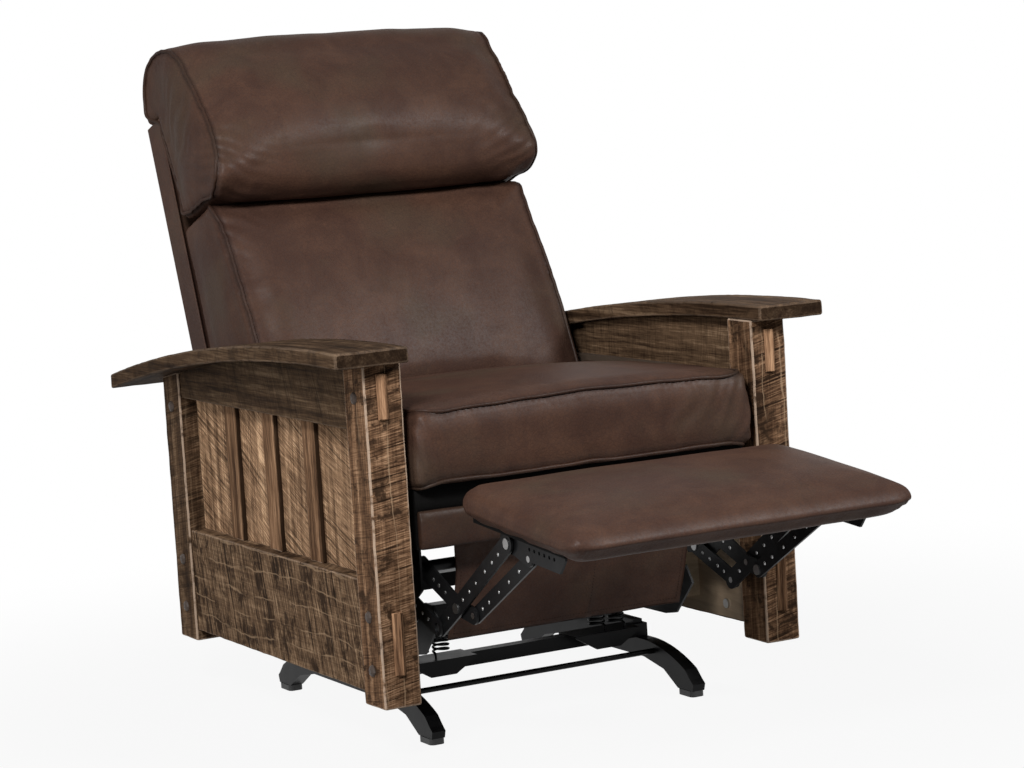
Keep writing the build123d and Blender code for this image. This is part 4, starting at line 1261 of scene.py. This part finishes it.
def bulging(distance, reach):
    """Falls from 0.8 at no distance to 0 at the reach, as a round edge does."""
    return 1 - np.sqrt(1 - 0.96 * falling(distance, reach) ** 2)


def tapered(roll):
    """The head roll narrows at its lower back, where it leaves the back's side panel bare."""
    places = points_of(roll.data)
    ahead, up = back_local(places)
    low, high = ahead.min(), ahead.max()
    move = 0.040 * eased(-up, -0.64, -0.44) * falling(ahead - low, high - low) ** 1.3
    put_points(roll.data, places + move[:, None] * np.array(AHEAD))


# How steeply the footrest pad's underside rises to the rear
PAD_SLOPE = math.tan(math.radians(4.6))


def domed(pad):
    """The footrest pad thins towards its front and side edges."""
    places = points_of(pad.data)
    low, high = places.min(axis=0), places.max(axis=0)
    side = np.minimum(places[:, 0] - low[0], high[0] - places[:, 0])
    front, rear = places[:, 1] - low[1], high[1] - places[:, 1]
    beside = 0.50 - 0.28 * eased(front, 0.10, high[1] - low[1])
    thin = np.maximum(0.55 * bulging(front, 0.12), beside * bulging(side, 0.10))
    thin = np.maximum(thin, 0.12 * falling(rear, 0.06) ** 2)
    rise = np.maximum(places[:, 2] - low[2] - front * PAD_SLOPE, 0)
    edge = np.maximum(falling(side, 0.030), falling(front, 0.030))
    places[:, 2] += 0.007 * eased(edge, 0, 1) * falling(rise, 0.045) - rise * thin
    put_points(pad.data, places)


PAD_VOXEL, BOARD_VOXEL = 0.0062, 0.005


class RECLINER_OT_cushions(bpy.types.Operator):
    """Seat cushion, lumbar cushion, head roll and footrest pad with their welts"""

    bl_idname = "recliner.cushions"
    bl_label = "Cushions"

    def execute(self, context):
        look = looks("leather")
        seat = soft_copy("seat_cushion", look.voxel, 3)
        lumbar = soft_copy("back_cushion", look.voxel, 4)
        roll = soft_copy("head_roll", look.voxel, 7)
        pad = soft_copy("footrest_pad", PAD_VOXEL, 8)
        tapered(roll)
        domed(pad)
        # Each row: the pad, how far it may move down and up each axis, rounds of evening
        swell([
            (seat, (0.002, 0.005, 0.0008), (0.002, 0.001, 0.008), 3),
            (lumbar, (0.002, 0.008, 0.004), (0.002, 0.0005, 0.003), 8),
            (roll, (0.003, 0.009, 0.004), (0.003, 0.006, 0.008), 12),
            (pad, (0.006, 0.006, 0.0015), (0.006, 0.004, 0.005), 4),
        ], look.pressure)
        for obj in (seat, lumbar, roll, pad):
            undulated(obj, 8.0, 0.0014)
            finer(obj)
        wrinkled(seat, [((-0.295, -0.285, 0.47), (1, 0, 0.35), 0.09, 0.020, 0.0012),
                        ((0.295, -0.285, 0.49), (1, 0, -0.5), 0.10, 0.022, 0.0014),
                        ((0.20, -0.285, 0.50), (1, 0, -0.2), 0.12, 0.045, 0.0012)])
        wrinkled(roll, [(in_back(-0.29, 0.24, 0.475), (-0.45, 0, -0.9), 0.11, 0.020, 0.0016),
                        (in_back(0.29, 0.24, 0.50), (0.45, 0, -0.9), 0.13, 0.024, 0.0018),
                        (in_back(-0.32, 0.16, 0.60), (0, 1, 0.6), 0.11, 0.030, 0.0013)])
        wrinkled(lumbar, [(in_back(sign * 0.29, 0.22, 0.39), (-sign * 0.5, 0, 0.8), 0.10, 0.024, 0.0012)
                          for sign in (-1, 1)])
        wrinkled(pad, [((-0.29, -0.385, 0.40), (0.3, 0.9, -0.3), 0.055, 0.012, 0.0018),
                       ((-0.29, -0.735, 0.38), (0.9, 0.2, 0.3), 0.035, 0.010, 0.0010),
                       ((0.29, -0.735, 0.38), (0.9, -0.2, 0.3), 0.035, 0.010, 0.0010)])
        for obj, body, node, welts, fill in (
            (seat, "seat", "seat_cushion", cushion_welts(seat), 0.9),
            (lumbar, "back", "back_cushion", lumbar_welts(lumbar), 0.85),
            (roll, "back", "head_roll", roll_welts(roll), 0.85),
        ):
            seam_in(obj, welts, look.pucker)
            dress(obj, body, "leather", "leather", node)
            dress(cords(node + "_welts", snapped(obj, welts), look.welt), body, "welt_leather", "leather")
        dress(pad, "footrest", "leather", "leather", "footrest_pad")
        return {"FINISHED"}


# The black cloth, a near-black sheet that paints the shade in the gap above the front board: how far it lies
# before the seat box, and its thickness
CLOTH_AHEAD, CLOTH_THICK = 0.0012, 0.0008
# The outside back's edges: which are sharp, in radians, and how wide they are rounded
SHARP, BACK_ROUND = 0.6, 0.0045


class RECLINER_OT_seat_front(bpy.types.Operator):
    """Leather front board, the black cloth above it as painted shade, and the outside back"""

    bl_idname = "recliner.seat_front"
    bl_label = "Seat front and outside back"

    def execute(self, context):
        board = soft_copy("seat_fascia", BOARD_VOXEL, 3)
        undulated(board, 16.0, 0.0012)
        finer(board)
        # The front board gets the darker leather as painted shade, for the shadow it lies in
        dress(board, "seat", "welt_leather", "leather", "seat_fascia")
        made = merged("outside_back")
        bmesh.ops.dissolve_limit(made, angle_limit=math.radians(0.6), verts=made.verts, edges=made.edges)
        sharp = [edge for edge in made.edges
                 if len(edge.link_faces) == 2 and edge.calc_face_angle(0.0) > SHARP]
        bmesh.ops.bevel(made, geom=sharp, offset=BACK_ROUND, offset_type="OFFSET", segments=3, profile=0.5,
                        affect="EDGES", clamp_overlap=True)
        dress(to_object("outside_back_leather", made), "back", "leather", "leather", "outside_back")
        low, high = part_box("seat_box")
        _, fascia_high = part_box("seat_fascia")
        front = low.y - CLOTH_AHEAD
        self.strip(high.x, [(front, fascia_high.z - 0.004), (front, high.z + 0.0001)])
        return {"FINISHED"}

    def strip(self, half, rows, columns=60):
        """The dark cloth over the seat box, between cushion and front board: painted shade in that gap."""
        verts = []
        for y, z in rows:
            for i in range(columns + 1):
                x = -half + 2 * half * i / columns
                verts.append((x, y - CLOTH_THICK * (noise.noise(Vector((x * 14, z * 20, 0))) + 0.5), z))
        faces = [(i, i + 1, columns + 2 + i, columns + 1 + i) for i in range(columns)]
        obj = listed("seat_front_cloth", verts, faces=faces)
        walled(obj, CLOTH_THICK)
        dress(obj, "seat", "black_cloth", "leather")


# The hanging apron: half its width, heights of its top, of where it hangs free and of its hem, and depths
APRON_HALF, APRON_TOP, APRON_NECK, APRON_LOW = 0.216, 0.345, 0.2805, 0.167
APRON_TOP_Y, APRON_LOW_Y = -0.206, -0.163
# Its folds: share across and how far forward
FOLD_SHARES = ((-1.0, 0.4), (-0.78, -0.3), (-0.5, 0.2), (-0.2, -0.4), (0.1, 0.3), (0.16, -0.6),
               (0.24, 0.2), (0.55, -0.3), (0.8, 0.3), (1.0, -0.5))
APRON_THICK, HEM_DOWN, STITCH_LIFT = 0.0024, 0.952, Vector((0, -0.0014, 0))


def apron_point(share, down):
    """A point of the hanging apron: share across from -1 to 1, down from 0 to 1."""
    for (a, wave_a), (b, wave_b) in zip(FOLD_SHARES, FOLD_SHARES[1:]):
        if a <= share <= b:
            t = (share - a) / (b - a)
            wave = wave_a + (wave_b - wave_a) * t * t * (3 - 2 * t)
    neck = (APRON_TOP - APRON_NECK) / (APRON_TOP - APRON_LOW)
    z = APRON_TOP + (APRON_LOW - APRON_TOP) * down
    low = max(0.0, (down - neck) / (1 - neck))
    y = APRON_TOP_Y + (APRON_LOW_Y - APRON_TOP_Y) * low ** 1.25 + 0.005 * wave * low
    y += noise.noise(Vector((share * 5, down * 2.4, 1.7))) * 0.0022 * low
    return Vector((share * APRON_HALF, y, z))


def stitch_rows(name, rows, body):
    """Rows of stitches along polylines."""
    verts, edges = [], []
    for row in rows:
        edges += [(len(verts) + i, len(verts) + i + 1) for i in range(len(row) - 1)]
        verts += row
    obj = listed(name, verts, edges)
    grow(obj, *stitch_group(finish("thread")), STITCHES)
    return dress(obj, body, "thread", "leather")


class RECLINER_OT_apron(bpy.types.Operator):
    """Leather apron behind the footrest, with its folds, hem and stitches"""

    bl_idname = "recliner.apron"
    bl_label = "Front apron"

    def execute(self, context):
        columns, rows = 110, 44
        verts = [apron_point(-1 + 2 * i / columns, j / rows)
                 for j in range(rows + 1) for i in range(columns + 1)]
        starts = [j * (columns + 1) + i for j in range(rows) for i in range(columns)]
        faces = [(a, a + columns + 1, a + columns + 2, a + 1) for a in starts]
        obj = listed("front_apron_leather", verts, faces=faces)
        walled(obj, APRON_THICK)
        face_out(obj.data)
        dress(obj, "seat", "leather", "leather", "front_apron")
        run = sum((apron_point(0, (k + 1) / 40) - apron_point(0, k / 40)).length for k in range(40))
        lines = [[(s / 60 * 0.955, HEM_DOWN) for s in range(-60, 61)]]
        lines += [[(share, 0.36 + 0.59 * k / 40) for k in range(41)] for share in (-0.962, 0.185, 0.962)]
        threads = stitch_rows("apron_stitches", [[apron_point(*spot) + STITCH_LIFT for spot in line]
                                                 for line in lines], "seat")
        return {"FINISHED"}


# Stage

WHITE = (1, 1, 1, 1)
FLOOR_GREY = (0.26, 0.26, 0.26, 1)
LAMPS_LOOK_AT = Vector((0, -0.05, 0.55))
# Each lamp's place and size; its power is in the stage's look
LAMPS = {"key": ((-2.6, -2.7, 3.0), 1.0), "fill": ((2.1, -3.1, 3.1), 1.1), "side": ((-3.6, -0.6, 1.3), 1.4)}
CAMERA_PLACE = (-2.2943, -4.3317, 1.0856)
CAMERA_YAW, CAMERA_PITCH, CAMERA_ROLL = (math.radians(angle) for angle in (28.068, -6.292, -3.591))


def white_to_camera(tree, shader, white):
    """Mixes a plain white into a shader for the camera, gloss and glass."""
    rays = [tree.node("ShaderNodeLightPath", None, None, name)
            for name in ("Is Camera Ray", "Is Glossy Ray", "Is Transmission Ray")]
    share = (rays[0] + rays[1] + rays[2]).clamped()
    return tree.node("ShaderNodeMixShader", None, {0: share, 1: shader, 2: white})


class RECLINER_OT_stage(bpy.types.Operator):
    """Plain pale floor, soft lamps and the camera"""

    bl_idname = "recliner.stage"
    bl_label = "Stage"

    def execute(self, context):
        scene, look = context.scene, looks("stage")
        scene.view_settings.view_transform = "Standard"
        half = look.floor / 2
        corners = [(-half, -half, 0), (half, -half, 0), (half, half, 0), (-half, half, 0)]
        floor = listed("floor", corners, faces=[(0, 1, 2, 3)])
        tree = Tree("pale_floor")
        matt = tree.node("ShaderNodeBsdfDiffuse", None, {"Color": FLOOR_GREY})
        white = tree.node("ShaderNodeEmission", None, {"Color": WHITE, "Strength": 1.0})
        # Plain white to the camera, but for a little of the lamps' shade near the chair
        plain = tree.vector("LENGTH", tree.place(), out="Value").step(0.6, 2.0) * 0.08 + 0.92
        seen = tree.node("ShaderNodeMixShader", None, {0: plain, 1: matt, 2: white})
        tree.node("ShaderNodeOutputMaterial", None, {"Surface": white_to_camera(tree, matt, seen)})
        floor.data.materials.append(tree.owner)
        scene.world = bpy.data.worlds.new("studio")
        sky = Tree(scene.world)
        dim, bright = (sky.node("ShaderNodeBackground", None, {"Color": WHITE, "Strength": strength})
                       for strength in (look.sky, 1.0))
        sky.node("ShaderNodeOutputWorld", None, {"Surface": white_to_camera(sky, dim, bright)})
        for name, (place, size) in LAMPS.items():
            data = bpy.data.lights.new(name + "_lamp", "AREA")
            data.shape, data.size, data.energy = "DISK", size, getattr(look, name)
            turn = (Vector(place) - LAMPS_LOOK_AT).to_track_quat("Z", "Y").to_matrix().to_4x4()
            new_object(name + "_lamp", data).matrix_world = Matrix.Translation(place) @ turn
        data = bpy.data.cameras.new("camera")
        data.lens, data.sensor_width, data.clip_end = look.lens, 36.0, 100.0
        scene.camera = new_object("camera", data)
        turn = Matrix.Rotation(-CAMERA_YAW, 4, "Z") @ Matrix.Rotation(math.pi / 2 + CAMERA_PITCH, 4, "X")
        turn = turn @ Matrix.Rotation(CAMERA_ROLL, 4, "Z")
        scene.camera.matrix_world = Matrix.Translation(CAMERA_PLACE) @ turn
        return {"FINISHED"}


STEPS = (RECLINER_OT_stage, RECLINER_OT_wood_sides, RECLINER_OT_pegs, RECLINER_OT_inner_panels,
         RECLINER_OT_steel, RECLINER_OT_link_rivets, RECLINER_OT_cushions, RECLINER_OT_seat_front,
         RECLINER_OT_apron)
LOOKS = {"wood": WoodLook, "leather": LeatherLook, "steel": SteelLook, "stage": StageLook}


class RECLINER_PT_panel(bpy.types.Panel):
    """Sizes, colours and steps of the recliner"""

    bl_label = "Recliner"
    bl_idname = "RECLINER_PT_panel"
    bl_space_type = "VIEW_3D"
    bl_region_type = "UI"
    bl_category = "Recliner"

    def draw(self, context):
        for name in LOOKS:
            group = looks(name)
            box = self.layout.box()
            box.label(text=name.capitalize())
            for key in group.bl_rna.properties.keys():
                if key not in ("rna_type", "name"):
                    box.prop(group, key)
        for step in STEPS:
            self.layout.operator(step.bl_idname)


def register():
    for name, group in LOOKS.items():
        bpy.utils.register_class(group)
        setattr(bpy.types.Scene, "recliner_" + name, PointerProperty(type=group))
    for step in (*STEPS, RECLINER_PT_panel):
        bpy.utils.register_class(step)


def unregister():
    for step in reversed((*STEPS, RECLINER_PT_panel)):
        bpy.utils.unregister_class(step)
    for name, group in LOOKS.items():
        delattr(bpy.types.Scene, "recliner_" + name)
        bpy.utils.unregister_class(group)


def main():
    register()
    bpy.ops.recliner.stage()
    bpy.ops.recliner.wood_sides()
    bpy.ops.recliner.pegs()
    bpy.ops.recliner.inner_panels()
    bpy.ops.recliner.steel()
    bpy.ops.recliner.link_rivets()
    bpy.ops.recliner.cushions()
    bpy.ops.recliner.seat_front()
    bpy.ops.recliner.apron()
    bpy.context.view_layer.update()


if __name__ == "__main__":
    main()
